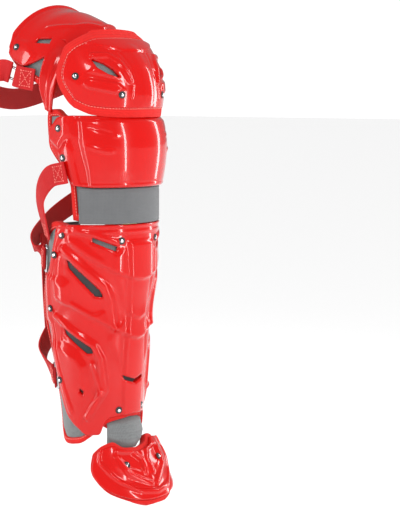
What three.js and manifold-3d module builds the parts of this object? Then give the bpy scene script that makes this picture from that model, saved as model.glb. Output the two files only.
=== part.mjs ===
// Catcher leg guard: moulded shells over padded cloth, with bindings, straps, hooks and rivets.
// Millimetres, +Z up, the front of the leg faces -Y, and +X is the wearer's left.
// The origin is the inner face of the shin's padding, in the middle of the shin.

import * as THREE from 'three';
import Module from 'manifold-3d';
import { mergeVertices } from 'three/addons/utils/BufferGeometryUtils.js';

const wasm = await Module();
wasm.setup();

// Driving sizes, in millimetres

const wall = 3; // moulded shell
const seatGap = 0.95; // between faceted layers that lie on each other
const edgeGap = 0.8; // between a pad and the binding round it
const capGap = 0.51; // under the knee cap
const padThick = 9; // padding with its cloth
const innerPadThick = 6; // black pad inside the shin
const bandThick = 3; // grey band and ankle gusset
const bindingWidth = 8; // red tape round a pad

const stackGap = 2; // between the shin shell and the band above it
const lowerKneeTop = 0.874; // of the knee's height, where the cap begins

const shin = { bottom: -140, height: 244, radius: 69, sideRun: 70 };
const knee = { bottom: shin.bottom + shin.height + stackGap, height: 139, radius: 68, sideRun: 70 };
const kneeCap = {
  bottom: knee.bottom + lowerKneeTop * knee.height + capGap, height: 93, radius: 74, sideRun: 70,
};
const thigh = { start: 12, height: 88, radius: 76, sideRun: 70, lift: 23.8, lean: 20 };
const toe = { height: 70, radius: 60, sideRun: 40, drop: 74 }; // drop: its bottom under the shin's
const gusset = { height: 33, radius: 50, sideRun: 40, drop: 17 };

const webbing = { width: 25, thick: 2 };
const wire = { radius: 1.5, sides: 5 };
const loopSize = { width: 30, length: 13 };
const hookSize = { width: 22, length: 16 };
const slideSize = { width: 34, length: 24, bar: 4, thick: 3 };
const rivet = { radius: 4, height: 2, sides: 6, gap: 0.5 };
const hardwareGap = 0.6; // between metal and what it lies on

// Colours, as [colour, roughness, metalness]

const finishes = {
  shell: [0xd8100c, 0.12, 0],
  mesh: [0x7f8383, 0.9, 0],
  binding: [0xcf2224, 0.8, 0],
  black: [0x141416, 0.85, 0],
  foam: [0xeede86, 0.8, 0],
  band: [0x77797b, 0.8, 0],
  webbing: [0xd22a2a, 0.75, 0],
  label: [0xf0eeec, 0.6, 0],
  darkMetal: [0x2b2b2e, 0.35, 0.9],
  chrome: [0xb9bcc0, 0.25, 0.95],
  whitePlastic: [0xecebea, 0.4, 0],
};

// Tables and smooth columns

/** Smooth value of one column of a table, at any value of its key column, held flat past both ends. */
function column(rows, key, name) {
  const xs = rows.map((row) => row[key]);
  const ys = rows.map((row) => row[name]);
  const steps = xs.slice(1).map((x, i) => (ys[i + 1] - ys[i]) / (x - xs[i]));
  const slopes = xs.map((_, i) => {
    if (i === 0) return steps[0];
    if (i === xs.length - 1) return steps[i - 1];
    const product = steps[i - 1] * steps[i];
    return product <= 0 ? 0 : (2 * product) / (steps[i - 1] + steps[i]);
  });
  return (x) => {
    if (x <= xs[0]) return ys[0];
    if (x >= xs[xs.length - 1]) return ys[ys.length - 1];
    const i = xs.findIndex((_, k) => x <= xs[k + 1]);
    const span = xs[i + 1] - xs[i];
    const t = (x - xs[i]) / span;
    return ys[i] * (1 + 2 * t) * (1 - t) ** 2 + slopes[i] * span * t * (1 - t) ** 2
      + ys[i + 1] * t * t * (3 - 2 * t) + slopes[i + 1] * span * t * t * (t - 1);
  };
}

const lerp = THREE.MathUtils.lerp;

/** One where x is under the first bound, zero past the second, and smooth between. */
const fade = (x, near, far) => 1 - THREE.MathUtils.smoothstep(x, near, far);

/**
 * A surface that wraps a leg: sections stacked along z, each a round front and two sides that run back.
 * turn is 0 at the front and 1 a quarter round, and past 1 it runs back along the side. up is a share of the height.
 * In the table, wide and deep are shares of the radius, back is the centre's y and pull the sides' narrowing.
 */
class Wrap {
  constructor(size, sections) {
    Object.assign(this, size);
    for (const name of ['wide', 'deep', 'back', 'pull']) this[`${name}At`] = column(sections, 'up', name);
  }

  bare(turn, up) {
    const side = Math.sign(turn) || 1;
    const round = Math.min(Math.abs(turn), 1) * (Math.PI / 2);
    const past = Math.max(Math.abs(turn) - 1, 0);
    const half = this.wideAt(up) * this.radius;
    const x = half * Math.sin(round) - this.pullAt(up) * this.radius * past * past;
    const y = this.backAt(up) * this.radius - this.deepAt(up) * this.radius * Math.cos(round) + this.sideRun * past;
    return new THREE.Vector3(side * x, y, this.bottom + this.height * up);
  }

  normal(turn, up) {
    const step = 0.004;
    const round = this.bare(turn + step, up).sub(this.bare(turn - step, up));
    const rise = this.bare(turn, up + step).sub(this.bare(turn, up - step));
    return round.cross(rise).normalize();
  }

  point(turn, up, lift = 0) {
    return this.bare(turn, up).addScaledVector(this.normal(turn, up), lift);
  }

  /** Length round the surface from the middle to a turn. */
  girth(up, turn) {
    const parts = 12;
    let sum = 0;
    for (let i = 0; i < parts; i += 1) {
      sum += this.bare((turn * (i + 1)) / parts, up).distanceTo(this.bare((turn * i) / parts, up));
    }
    return sum;
  }
}

/**
 * The outline of a piece on a wrap, the same on both sides. edges gives its turn at each height,
 * and hem its lowest and highest share at each share of its half width.
 */
function panel(wrap, edges, hem) {
  const edge = column(edges, 'up', 'turn');
  const low = column(hem, 'out', 'low');
  const high = column(hem, 'out', 'high');
  return (across, along, inset = 0) => {
    const lowest = low(Math.abs(across));
    const span = high(Math.abs(across)) - lowest;
    const margin = inset / (span * wrap.height);
    const up = lowest + span * lerp(margin, 1 - margin, along);
    const reach = edge(up);
    const trim = inset / wrap.girth(up, reach);
    return { turn: across * (1 - trim) * reach, up };
  };
}

// Solids

/** A closed mesh from points and triangles, turned so that its faces point out. */
function solid(points, faces) {
  let volume = 0;
  for (const [a, b, c] of faces) {
    volume += points[a].dot(points[b].clone().cross(points[c]));
  }
  const index = faces.flatMap(([a, b, c]) => (volume < 0 ? [a, c, b] : [a, b, c]));
  const geometry = new THREE.BufferGeometry();
  geometry.setAttribute('position', new THREE.Float32BufferAttribute(points.flatMap((p) => p.toArray()), 3));
  geometry.setIndex(index);
  return geometry;
}

/** Two triangles for the four corners of a cell. */
const cell = (a, b, c, d) => [[a, b, c], [a, c, d]];

/** A wall that follows a wrap between two lifts. outer may be a number or a function of turn and up. */
function sheet(wrap, outline, { inner, outer, columns, rows, inset = 0, from = -1, to = 1 }) {
  const points = [];
  const faces = [];
  const liftOut = typeof outer === 'function' ? outer : () => outer;
  for (const isOuter of [true, false]) {
    for (let j = 0; j <= rows; j += 1) {
      for (let i = 0; i <= columns; i += 1) {
        const { turn, up } = outline(lerp(from, to, i / columns), j / rows, inset);
        points.push(wrap.point(turn, up, isOuter ? liftOut(turn, up) : inner));
      }
    }
  }
  const layer = (columns + 1) * (rows + 1);
  const at = (i, j, deep) => (deep ? layer : 0) + j * (columns + 1) + i;
  for (let j = 0; j < rows; j += 1) {
    for (let i = 0; i < columns; i += 1) {
      faces.push(...cell(at(i, j, 0), at(i + 1, j, 0), at(i + 1, j + 1, 0), at(i, j + 1, 0)));
      faces.push(...cell(at(i, j + 1, 1), at(i + 1, j + 1, 1), at(i + 1, j, 1), at(i, j, 1)));
    }
  }
  for (let i = 0; i < columns; i += 1) {
    faces.push(...cell(at(i, 0, 1), at(i + 1, 0, 1), at(i + 1, 0, 0), at(i, 0, 0)));
    faces.push(...cell(at(i, rows, 0), at(i + 1, rows, 0), at(i + 1, rows, 1), at(i, rows, 1)));
  }
  for (let j = 0; j < rows; j += 1) {
    faces.push(...cell(at(0, j, 0), at(0, j + 1, 0), at(0, j + 1, 1), at(0, j, 1)));
    faces.push(...cell(at(columns, j, 1), at(columns, j + 1, 1), at(columns, j + 1, 0), at(columns, j, 0)));
  }
  return solid(points, faces);
}

/** Joins a run of equal rings of points into one solid, closed on itself or capped at both ends. */
function rings(loops, closed) {
  const count = loops[0].length;
  const faces = [];
  const last = closed ? loops.length : loops.length - 1;
  for (let k = 0; k < last; k += 1) {
    const next = ((k + 1) % loops.length) * count;
    for (let i = 0; i < count; i += 1) {
      const j = (i + 1) % count;
      faces.push(...cell(next + i, k * count + i, k * count + j, next + j));
    }
  }
  if (!closed) {
    const end = (loops.length - 1) * count;
    for (let i = 1; i < count - 1; i += 1) {
      faces.push([0, i + 1, i], [end, end + i, end + i + 1]);
    }
  }
  return solid(loops.flat(), faces);
}

/** The tape round a pad's outline, with the pad's own columns and rows so that their edges run side by side. */
function binding(wrap, outline, { inner, outer, columns, rows, width = bindingWidth }) {
  const stops = [];
  for (let i = 0; i < columns; i += 1) stops.push([lerp(-1, 1, i / columns), 0]);
  for (let j = 0; j < rows; j += 1) stops.push([1, j / rows]);
  for (let i = columns; i > 0; i -= 1) stops.push([lerp(-1, 1, i / columns), 1]);
  for (let j = rows; j > 0; j -= 1) stops.push([-1, j / rows]);
  const loops = stops.map(([across, along]) => {
    const rim = outline(across, along, 0);
    const seam = outline(across, along, width);
    return [
      wrap.point(rim.turn, rim.up, outer), wrap.point(seam.turn, seam.up, outer),
      wrap.point(seam.turn, seam.up, inner), wrap.point(rim.turn, rim.up, inner),
    ];
  });
  return rings(loops, true);
}

/** Sweeps a flat section along stations, each with a place, an outward direction and the section's own points. */
function sweep(stations, closed = false) {
  const places = stations.map((station) => station.at);
  const loops = stations.map(({ at, out, section }, k) => {
    const before = places[closed ? (k + places.length - 1) % places.length : Math.max(k - 1, 0)];
    const after = places[closed ? (k + 1) % places.length : Math.min(k + 1, places.length - 1)];
    const along = after.clone().sub(before).normalize();
    const across = along.clone().cross(out).normalize();
    const up = across.clone().cross(along);
    return section.map(([u, v]) => at.clone().addScaledVector(across, u).addScaledVector(up, v));
  });
  return rings(loops, closed);
}

const flat = (width, thick) => [[-width / 2, -thick / 2], [width / 2, -thick / 2], [width / 2, thick / 2],
  [-width / 2, thick / 2]];

const round = (radius, sides, squash = 1) => Array.from({ length: sides }, (_, i) => {
  const angle = (2 * Math.PI * i) / sides;
  return [radius * Math.cos(angle), radius * squash * Math.sin(angle)];
});

/** A strap through a route of stations, smooth in place, direction and width. */
function strap(route, stepsEach = 3) {
  const path = new THREE.CatmullRomCurve3(route.map((stop) => stop.at), false, 'centripetal');
  const count = (route.length - 1) * stepsEach;
  const stations = [];
  for (let k = 0; k <= count; k += 1) {
    const share = k / count;
    const i = Math.min(Math.floor(share * (route.length - 1)), route.length - 2);
    const t = share * (route.length - 1) - i;
    const wide = lerp(route[i].wide ?? webbing.width, route[i + 1].wide ?? webbing.width, t);
    stations.push({
      at: path.getPoint(share),
      out: route[i].out.clone().lerp(route[i + 1].out, t).normalize(),
      section: flat(wide, webbing.thick),
    });
  }
  return sweep(stations);
}

// Booleans

function toManifold(geometry) {
  const bare = geometry.clone();
  bare.deleteAttribute('normal');
  bare.deleteAttribute('uv');
  const merged = mergeVertices(bare, 1e-4);
  return new wasm.Manifold(new wasm.Mesh({
    numProp: 3,
    vertProperties: new Float32Array(merged.attributes.position.array),
    triVerts: new Uint32Array(merged.index.array),
  }));
}

function fromManifold(body) {
  const mesh = body.getMesh();
  const geometry = new THREE.BufferGeometry();
  geometry.setAttribute('position', new THREE.BufferAttribute(mesh.vertProperties, 3));
  geometry.setIndex(new THREE.BufferAttribute(mesh.triVerts, 1));
  return geometry;
}

const cut = (geometry, cutters) => fromManifold(
  cutters.reduce((body, cutter) => body.subtract(toManifold(cutter)), toManifold(geometry)),
);

const join = (geometries) => fromManifold(
  geometries.map(toManifold).reduce((body, other) => body.add(other)),
);

/** A cutter through a shell: corners as turn and up, on one side or mirrored to the other. */
function slotCutter(wrap, corners, side) {
  const reach = 3 * wall;
  const loops = [-reach, reach].map((lift) => corners.map(({ turn, up }) => wrap.point(side * turn, up, lift)));
  return rings(loops, false);
}

// The scene

const guard = new THREE.Group();
const legFrame = new THREE.Group();
guard.add(legFrame);

function add(parent, name, geometry, finish) {
  const [color, roughness, metalness] = finishes[finish];
  const mesh = new THREE.Mesh(geometry, new THREE.MeshStandardMaterial({ color, roughness, metalness }));
  mesh.name = name;
  parent.add(mesh);
  return mesh;
}

const sides = [{ side: -1, word: 'right' }, { side: 1, word: 'left' }];

/** Where a line along the wrap's normal meets a solid, with the normal there. */
function seatOn(geometry, wrap, turn, up) {
  const out = wrap.normal(turn, up);
  const reach = 40;
  const ray = new THREE.Raycaster(wrap.point(turn, up, reach), out.clone().negate());
  const mesh = new THREE.Mesh(geometry, new THREE.MeshBasicMaterial({ side: THREE.DoubleSide }));
  return { at: ray.intersectObject(mesh)[0].point, out };
}

const rivetProfile = [[0, 0], [1, 0], [0.7, 1], [0, 1]]
  .map(([out, up]) => new THREE.Vector2(out * rivet.radius, up * rivet.height));

function addRivet(parent, name, geometry, wrap, turn, up) {
  const seat = seatOn(geometry, wrap, turn, up);
  const mesh = add(parent, name, new THREE.LatheGeometry(rivetProfile, rivet.sides), 'darkMetal');
  mesh.quaternion.setFromUnitVectors(new THREE.Vector3(0, 1, 0), seat.out);
  mesh.position.copy(seat.at).addScaledVector(seat.out, rivet.gap);
}

// Shin

const shinWrap = new Wrap(shin, [
  { up: -0.1, wide: 0.71, deep: 0.71, back: 0, pull: 1.0 },
  { up: 0, wide: 0.72, deep: 0.72, back: 0, pull: 0.98 },
  { up: 0.14, wide: 0.75, deep: 0.75, back: 0, pull: 0.88 },
  { up: 0.29, wide: 0.79, deep: 0.79, back: 0, pull: 0.72 },
  { up: 0.38, wide: 0.815, deep: 0.815, back: 0, pull: 0.58 },
  { up: 0.57, wide: 0.855, deep: 0.855, back: 0, pull: 0.42 },
  { up: 0.73, wide: 0.94, deep: 0.94, back: 0, pull: 0.6 },
  { up: 0.85, wide: 0.98, deep: 0.98, back: 0, pull: 0.8 },
  { up: 1.06, wide: 1, deep: 1, back: 0, pull: 0.95 },
]);

const shinShellOutline = panel(shinWrap, [
  { up: 0, turn: 0.76 },
  { up: 0.11, turn: 1.06 },
  { up: 0.3, turn: 1.27 },
  { up: 0.43, turn: 1.38 },
  { up: 0.57, turn: 1.46 },
  { up: 0.73, turn: 1.38 },
  { up: 0.85, turn: 1.19 },
  { up: 1, turn: 0.98 },
], [
  { out: 0, low: 0.098, high: 1.005 },
  { out: 0.35, low: 0.085, high: 1.005 },
  { out: 0.72, low: 0.002, high: 1.005 },
  { out: 0.95, low: 0, high: 1.002 },
  { out: 1, low: 0.012, high: 0.992 },
]);

// Raised bands on the shell: a middle spine below the knee and a rib along each long slot.
const spine = { half: 0.13, soft: 0.08, height: 2.2, top: 0.62 };
const ribs = [
  { turn: 0.72, up: 0.81, length: 0.3, slope: 0.2, height: 1.8 },
  { turn: 0.9, up: 0.6, length: 0.34, slope: 0.38, height: 1.8 },
  { turn: 0.86, up: 0.36, length: 0.34, slope: 0.34, height: 1.6 },
];
const ribHalf = 0.03;

function shinRelief(turn, up) {
  const out = Math.abs(turn);
  const middle = spine.height * fade(out, spine.half, spine.half + spine.soft) * fade(up, spine.top, spine.top + 0.1);
  const sum = ribs.reduce((total, rib) => {
    const across = Math.abs(up - rib.up - rib.slope * (out - rib.turn));
    const along = Math.abs(out - rib.turn);
    return total + rib.height * fade(across, ribHalf, 2 * ribHalf) * fade(along, rib.length / 2, rib.length);
  }, 0);
  return middle + sum;
}

const shinSlots = [
  [{ turn: 0.5, up: 0.77 }, { turn: 0.78, up: 0.815 }, { turn: 0.8, up: 0.835 }, { turn: 0.53, up: 0.795 }],
  [{ turn: 0.63, up: 0.58 }, { turn: 0.98, up: 0.725 }, { turn: 1.0, up: 0.75 }, { turn: 0.68, up: 0.62 }],
  [{ turn: 0.62, up: 0.34 }, { turn: 0.92, up: 0.46 }, { turn: 0.95, up: 0.485 }, { turn: 0.65, up: 0.365 }],
];

const shinShellBlank = sheet(shinWrap, shinShellOutline, {
  inner: -wall, outer: shinRelief, columns: 20, rows: 17,
});
const shinShell = cut(shinShellBlank, sides.flatMap(({ side }) => shinSlots.map(
  (corners) => slotCutter(shinWrap, corners, side),
)));
add(legFrame, 'shin_shell', shinShell, 'shell');

const padOuter = -wall - seatGap;
const padInner = padOuter - padThick;

const shinPadOutline = panel(shinWrap, [
  { up: -0.09, turn: 1.5 },
  { up: 0, turn: 1.7 },
  { up: 0.14, turn: 1.71 },
  { up: 0.25, turn: 1.58 },
  { up: 0.38, turn: 1.7 },
  { up: 0.57, turn: 1.83 },
  { up: 0.69, turn: 1.83 },
  { up: 0.8, turn: 1.79 },
  { up: 0.93, turn: 1.84 },
], [
  { out: 0, low: 0.075, high: 1 },
  { out: 0.2, low: 0.06, high: 1 },
  { out: 0.44, low: -0.02, high: 1 },
  { out: 0.6, low: -0.055, high: 1.02 },
  { out: 0.85, low: -0.07, high: 0.97 },
  { out: 1, low: -0.04, high: 0.92 },
]);
const shinPadGrid = { columns: 18, rows: 12 };
add(legFrame, 'shin_pad', sheet(shinWrap, shinPadOutline, {
  inner: padInner, outer: padOuter, inset: bindingWidth + edgeGap, ...shinPadGrid,
}), 'mesh');
add(legFrame, 'shin_binding', binding(shinWrap, shinPadOutline, {
  inner: padInner, outer: padOuter, ...shinPadGrid,
}), 'binding');

const innerPadOuter = padInner - seatGap;
const innerPadOutline = panel(shinWrap, [
  { up: 0.15, turn: 0.3 },
  { up: 0.25, turn: 0.5 },
  { up: 0.9, turn: 0.6 },
], [
  { out: 0, low: 0.13, high: 0.94 },
  { out: 0.6, low: 0.14, high: 0.94 },
  { out: 1, low: 0.22, high: 0.92 },
]);
add(legFrame, 'shin_inner_pad', sheet(shinWrap, innerPadOutline, {
  inner: innerPadOuter - innerPadThick, outer: innerPadOuter, columns: 6, rows: 8,
}), 'black');

const shinRivets = [
  { name: 'collar_side', turn: 0.93, up: 0.955 },
  { name: 'collar_front', turn: 0.27, up: 0.93 },
  { name: 'wing_high', turn: 1.06, up: 0.86 },
  { name: 'wing_middle', turn: 1.28, up: 0.6 },
  { name: 'wing_low', turn: 1.12, up: 0.26 },
  { name: 'ankle', turn: 0.24, up: 0.12 },
];
for (const { side, word } of sides) {
  for (const { name, turn, up } of shinRivets) {
    addRivet(legFrame, `shin_rivet_${name}_${word}`, shinShell, shinWrap, side * turn, up);
  }
}

// Knee below the cap, with the band under it

const kneeWrap = new Wrap(knee, [
  { up: 0, wide: 0.96, deep: 0.96, back: -0.1, pull: 0.1 },
  { up: 0.28, wide: 0.96, deep: 0.95, back: -0.11, pull: 0.1 },
  { up: 0.45, wide: 0.97, deep: 0.93, back: -0.15, pull: 0.1 },
  { up: 0.7, wide: 1, deep: 0.92, back: -0.17, pull: 0.1 },
  { up: 0.86, wide: 1, deep: 0.91, back: -0.14, pull: 0.1 },
  { up: 1, wide: 1, deep: 0.9, back: -0.1, pull: 0.1 },
]);

const bandOutline = panel(kneeWrap, [{ up: 0, turn: 0.79 }, { up: 1, turn: 0.79 }], [
  { out: 0, low: 0.001, high: 0.289 },
  { out: 1, low: 0.001, high: 0.289 },
]);
add(legFrame, 'front_band', sheet(kneeWrap, bandOutline, {
  inner: -bandThick, outer: 0, columns: 14, rows: 1,
}), 'band');

const barrel = { half: 0.74, soft: 0.05, height: 3 };
const plateStep = { up: 0.63, half: 0.012, depth: 1.4 };
const lowerKneeRelief = (turn, up) => {
  const out = Math.abs(turn);
  const middle = barrel.height * fade(out, barrel.half, barrel.half + barrel.soft);
  const crease = plateStep.depth * fade(Math.abs(up - plateStep.up), plateStep.half, 3 * plateStep.half);
  return middle - crease * (1 - fade(out, barrel.half, barrel.half + barrel.soft));
};
const lowerKneeOutline = panel(kneeWrap, [
  { up: 0.3, turn: 0.84 },
  { up: 0.46, turn: 1.03 },
  { up: 0.64, turn: 1.3 },
  { up: 0.74, turn: 1.31 },
  { up: 0.82, turn: 1.18 },
  { up: 0.88, turn: 1.05 },
], [
  { out: 0, low: 0.296, high: lowerKneeTop },
  { out: 0.8, low: 0.296, high: lowerKneeTop },
  { out: 1, low: 0.31, high: 0.86 },
]);
const lowerKneeShell = sheet(kneeWrap, lowerKneeOutline, {
  inner: -wall, outer: lowerKneeRelief, columns: 16, rows: 8,
});
add(legFrame, 'lower_knee_shell', lowerKneeShell, 'shell');

const kneePadOutline = panel(kneeWrap, [
  { up: 0, turn: 0.9 },
  { up: 0.3, turn: 0.93 },
  { up: 0.46, turn: 1.14 },
  { up: 0.64, turn: 1.42 },
  { up: 0.8, turn: 1.44 },
  { up: 0.93, turn: 1.4 },
], [
  { out: 0, low: 0.003, high: 0.872 },
  { out: 0.7, low: 0.003, high: 0.872 },
  { out: 0.86, low: 0.01, high: 0.93 },
  { out: 1, low: 0.02, high: 0.925 },
]);
const kneePadGrid = { columns: 16, rows: 8 };
add(legFrame, 'knee_pad', sheet(kneeWrap, kneePadOutline, {
  inner: padInner, outer: padOuter, inset: bindingWidth + edgeGap, ...kneePadGrid,
}), 'mesh');
add(legFrame, 'knee_binding', binding(kneeWrap, kneePadOutline, {
  inner: padInner, outer: padOuter, ...kneePadGrid,
}), 'binding');

const plateRivets = [{ name: 'upper', turn: 1.08, up: 0.77 }, { name: 'lower', turn: 1.0, up: 0.535 }];
for (const { side, word } of sides) {
  for (const { name, turn, up } of plateRivets) {
    addRivet(legFrame, `plate_rivet_${name}_${word}`, lowerKneeShell, kneeWrap, side * turn, up);
  }
}

// Inside the knee: a C-shaped bolster round a block of foam, both on the lining.

const bolster = { middle: 0.53, halfHeight: 0.27, halfTurn: 0.5, radius: 11, squash: 0.75, from: -130, to: 150, sides: 8 };
const foam = { halfTurn: 0.2, halfUp: 0.14, thick: 9, waist: 0.25 };

const bolsterStations = [];
const bolsterSteps = 16;
for (let k = 0; k <= bolsterSteps; k += 1) {
  const angle = THREE.MathUtils.degToRad(lerp(bolster.from, bolster.to, k / bolsterSteps));
  const turn = -bolster.halfTurn * Math.sin(angle);
  const up = bolster.middle + bolster.halfHeight * Math.cos(angle);
  const lift = padInner - seatGap - bolster.radius * bolster.squash;
  bolsterStations.push({
    at: kneeWrap.point(turn, up, lift),
    out: kneeWrap.normal(turn, up),
    section: round(bolster.radius, bolster.sides, bolster.squash),
  });
}
add(legFrame, 'knee_bolster', sweep(bolsterStations), 'black');

const foamOutline = (across, along) => ({
  turn: foam.halfTurn * across * (1 - foam.waist * (2 * along - 1) ** 2),
  up: bolster.middle + foam.halfUp * (2 * along - 1),
});
add(legFrame, 'knee_foam', sheet(kneeWrap, foamOutline, {
  inner: padInner - seatGap - foam.thick, outer: padInner - seatGap, columns: 4, rows: 4,
}), 'foam');

// Knee cap

const kneeCapWrap = new Wrap(kneeCap, [
  { up: 0, wide: 0.95, deep: 0.95, back: -0.07, pull: 0.1 },
  { up: 0.2, wide: 0.98, deep: 0.99, back: -0.05, pull: 0.1 },
  { up: 0.5, wide: 1, deep: 0.9, back: -0.06, pull: 0.1 },
  { up: 0.77, wide: 0.95, deep: 0.67, back: -0.07, pull: 0.1 },
  { up: 1, wide: 0.84, deep: 0.42, back: -0.02, pull: 0.1 },
]);
const kneeCapOutline = panel(kneeCapWrap, [
  { up: 0, turn: 0.74 },
  { up: 0.2, turn: 0.88 },
  { up: 0.5, turn: 0.96 },
  { up: 0.77, turn: 0.92 },
  { up: 1, turn: 0.7 },
], [
  { out: 0, low: 0.006, high: 1 },
  { out: 0.5, low: 0, high: 0.99 },
  { out: 0.8, low: 0.02, high: 0.91 },
  { out: 1, low: 0.14, high: 0.76 },
]);
const kneeCapGrid = { columns: 14, rows: 8 };
const capDome = { height: 2.5, edge: 0.8 };
const capRelief = (turn, up) => capDome.height * fade(Math.abs(turn), 0, capDome.edge)
  * fade(Math.abs(2 * up - 1), 0, 1);
const capSlot = [
  { turn: 0.24, up: 0.42 }, { turn: 0.34, up: 0.55 }, { turn: 0.62, up: 0.62 },
  { turn: 0.5, up: 0.47 }, { turn: 0.36, up: 0.42 },
];
const capShell = cut(
  sheet(kneeCapWrap, kneeCapOutline, {
    inner: -wall, outer: capRelief, inset: bindingWidth + edgeGap, ...kneeCapGrid,
  }),
  sides.map(({ side }) => slotCutter(kneeCapWrap, capSlot, side)),
);
add(legFrame, 'knee_cap_shell', capShell, 'shell');
add(legFrame, 'knee_cap_pad', sheet(kneeCapWrap, kneeCapOutline, {
  inner: padInner, outer: padOuter, inset: bindingWidth + edgeGap, ...kneeCapGrid,
}), 'mesh');
add(legFrame, 'knee_cap_binding', binding(kneeCapWrap, kneeCapOutline, {
  inner: padInner, outer: -wall / 2, ...kneeCapGrid,
}), 'binding');

const capRivets = [{ name: 'side', turn: 0.74, up: 0.46 }, { name: 'front', turn: 0.3, up: 0.24 }];
for (const { side, word } of sides) {
  for (const { name, turn, up } of capRivets) {
    addRivet(legFrame, `cap_rivet_${name}_${word}`, capShell, kneeCapWrap, side * turn, up);
  }
}

// Thigh, in a frame of its own that leans back over the knee

const thighFrame = new THREE.Group();
thighFrame.rotation.x = THREE.MathUtils.degToRad(thigh.lean - 90);
thighFrame.position.z = kneeCap.bottom;
legFrame.add(thighFrame);

const thighBack = -thigh.lift / thigh.radius;
const thighWrap = new Wrap({ ...thigh, bottom: thigh.start }, [
  { up: -0.3, wide: 0.88, deep: 0.84, back: thighBack, pull: 0 },
  { up: 0.08, wide: 0.885, deep: 0.9, back: thighBack, pull: 0 },
  { up: 0.3, wide: 0.98, deep: 1, back: thighBack, pull: 0 },
  { up: 0.6, wide: 1, deep: 1.01, back: thighBack, pull: 0 },
  { up: 0.85, wide: 1, deep: 0.97, back: thighBack, pull: 0 },
  { up: 1, wide: 1.02, deep: 0.97, back: thighBack, pull: 0 },
]);
const thighShellOutline = panel(thighWrap, [
  { up: 0, turn: 0.64 },
  { up: 0.28, turn: 0.72 },
  { up: 0.45, turn: 0.84 },
  { up: 0.58, turn: 0.9 },
  { up: 0.75, turn: 0.9 },
  { up: 0.89, turn: 0.84 },
  { up: 1, turn: 0.76 },
], [
  { out: 0, low: 0, high: 1 },
  { out: 0.8, low: 0, high: 1 },
  { out: 1, low: 0.05, high: 0.9 },
]);

// Each arm runs from the shell down the side of the knee.
const arm = { top: 0.5, tip: 1.36 };
const armEdges = [
  { share: 0, low: 0.02, high: 0.4 },
  { share: 0.3, low: 0.03, high: 0.3 },
  { share: 0.65, low: 0.02, high: 0.22 },
  { share: 1, low: -0.02, high: 0.09 },
];
const armLow = column(armEdges, 'share', 'low');
const armHigh = column(armEdges, 'share', 'high');
const armOutline = (side) => (across, along) => ({
  turn: side * lerp(arm.top, arm.tip, across),
  up: lerp(armLow(across), armHigh(across), along),
});
const rimRoll = (turn, up) => 1.6 * (1 - fade(up, 0.9, 0.98));
const thighSlot = [
  { turn: 0.3, up: 0.5 }, { turn: 0.66, up: 0.6 }, { turn: 0.67, up: 0.65 }, { turn: 0.31, up: 0.55 },
];
const thighShell = cut(
  join([
    sheet(thighWrap, thighShellOutline, { inner: -wall, outer: rimRoll, columns: 14, rows: 7 }),
    ...sides.map(({ side }) => sheet(thighWrap, armOutline(side), {
      inner: -wall, outer: 0, columns: 8, rows: 2, from: 0, to: 1,
    })),
  ]),
  sides.map(({ side }) => slotCutter(thighWrap, thighSlot, side)),
);
add(thighFrame, 'thigh_shell', thighShell, 'shell');

const thighPadOutline = panel(thighWrap, [
  { up: 0.03, turn: 1.13 },
  { up: 0.15, turn: 1.06 },
  { up: 0.34, turn: 1.01 },
  { up: 0.58, turn: 0.97 },
  { up: 0.89, turn: 0.9 },
  { up: 1, turn: 0.82 },
], [
  { out: 0, low: 0.03, high: 1 },
  { out: 0.8, low: 0.03, high: 1 },
  { out: 1, low: 0.06, high: 0.93 },
]);
const thighPadGrid = { columns: 12, rows: 6 };
const thighPadOuter = padOuter - 0.6; // clear of the thigh shell's flatter facets
add(thighFrame, 'thigh_pad', sheet(thighWrap, thighPadOutline, {
  inner: padInner, outer: thighPadOuter, inset: bindingWidth + edgeGap, ...thighPadGrid,
}), 'mesh');
add(thighFrame, 'thigh_binding', binding(thighWrap, thighPadOutline, {
  inner: padInner, outer: thighPadOuter, ...thighPadGrid,
}), 'binding');
const thighRivet = { turn: 0.76, up: 0.78 };
for (const { side, word } of sides) {
  addRivet(thighFrame, `thigh_rivet_${word}`, thighShell, thighWrap, side * thighRivet.turn, thighRivet.up);
}

// Ankle gusset and toe guard

const gussetWrap = new Wrap({ ...gusset, bottom: shin.bottom - gusset.drop }, [
  { up: 0, wide: 1.02, deep: 1.12, back: 0, pull: 0 },
  { up: 0.5, wide: 0.97, deep: 1.02, back: 0, pull: 0 },
  { up: 1, wide: 0.93, deep: 0.93, back: 0, pull: 0 },
]);
const gussetOutline = panel(gussetWrap, [{ up: 0, turn: 0.46 }, { up: 1, turn: 0.4 }], [
  { out: 0, low: 0.07, high: 0.985 },
  { out: 0.4, low: 0.15, high: 0.96 },
  { out: 1, low: 0.42, high: 0.9 },
]);
add(legFrame, 'ankle_gusset', sheet(gussetWrap, gussetOutline, {
  inner: -bandThick, outer: 0, columns: 8, rows: 3,
}), 'mesh');

const toeWrap = new Wrap({ ...toe, bottom: shin.bottom - toe.drop }, [
  { up: 0, wide: 0.83, deep: 0.58, back: -1.02, pull: 0 },
  { up: 0.2, wide: 0.97, deep: 0.7, back: -0.79, pull: 0 },
  { up: 0.5, wide: 1.02, deep: 0.7, back: -0.58, pull: 0 },
  { up: 0.78, wide: 0.95, deep: 0.56, back: -0.5, pull: 0 },
  { up: 1, wide: 0.82, deep: 0.46, back: -0.46, pull: 0 },
]);
const toeOutline = panel(toeWrap, [
  { up: 0, turn: 0.6 },
  { up: 0.2, turn: 0.82 },
  { up: 0.5, turn: 0.92 },
  { up: 0.8, turn: 0.88 },
  { up: 1, turn: 0.7 },
], [
  { out: 0, low: 0, high: 0.86 },
  { out: 0.25, low: 0, high: 0.89 },
  { out: 0.6, low: 0.03, high: 1 },
  { out: 0.85, low: 0.12, high: 0.96 },
  { out: 1, low: 0.28, high: 0.8 },
]);
const toeGrid = { columns: 14, rows: 6 };
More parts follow.
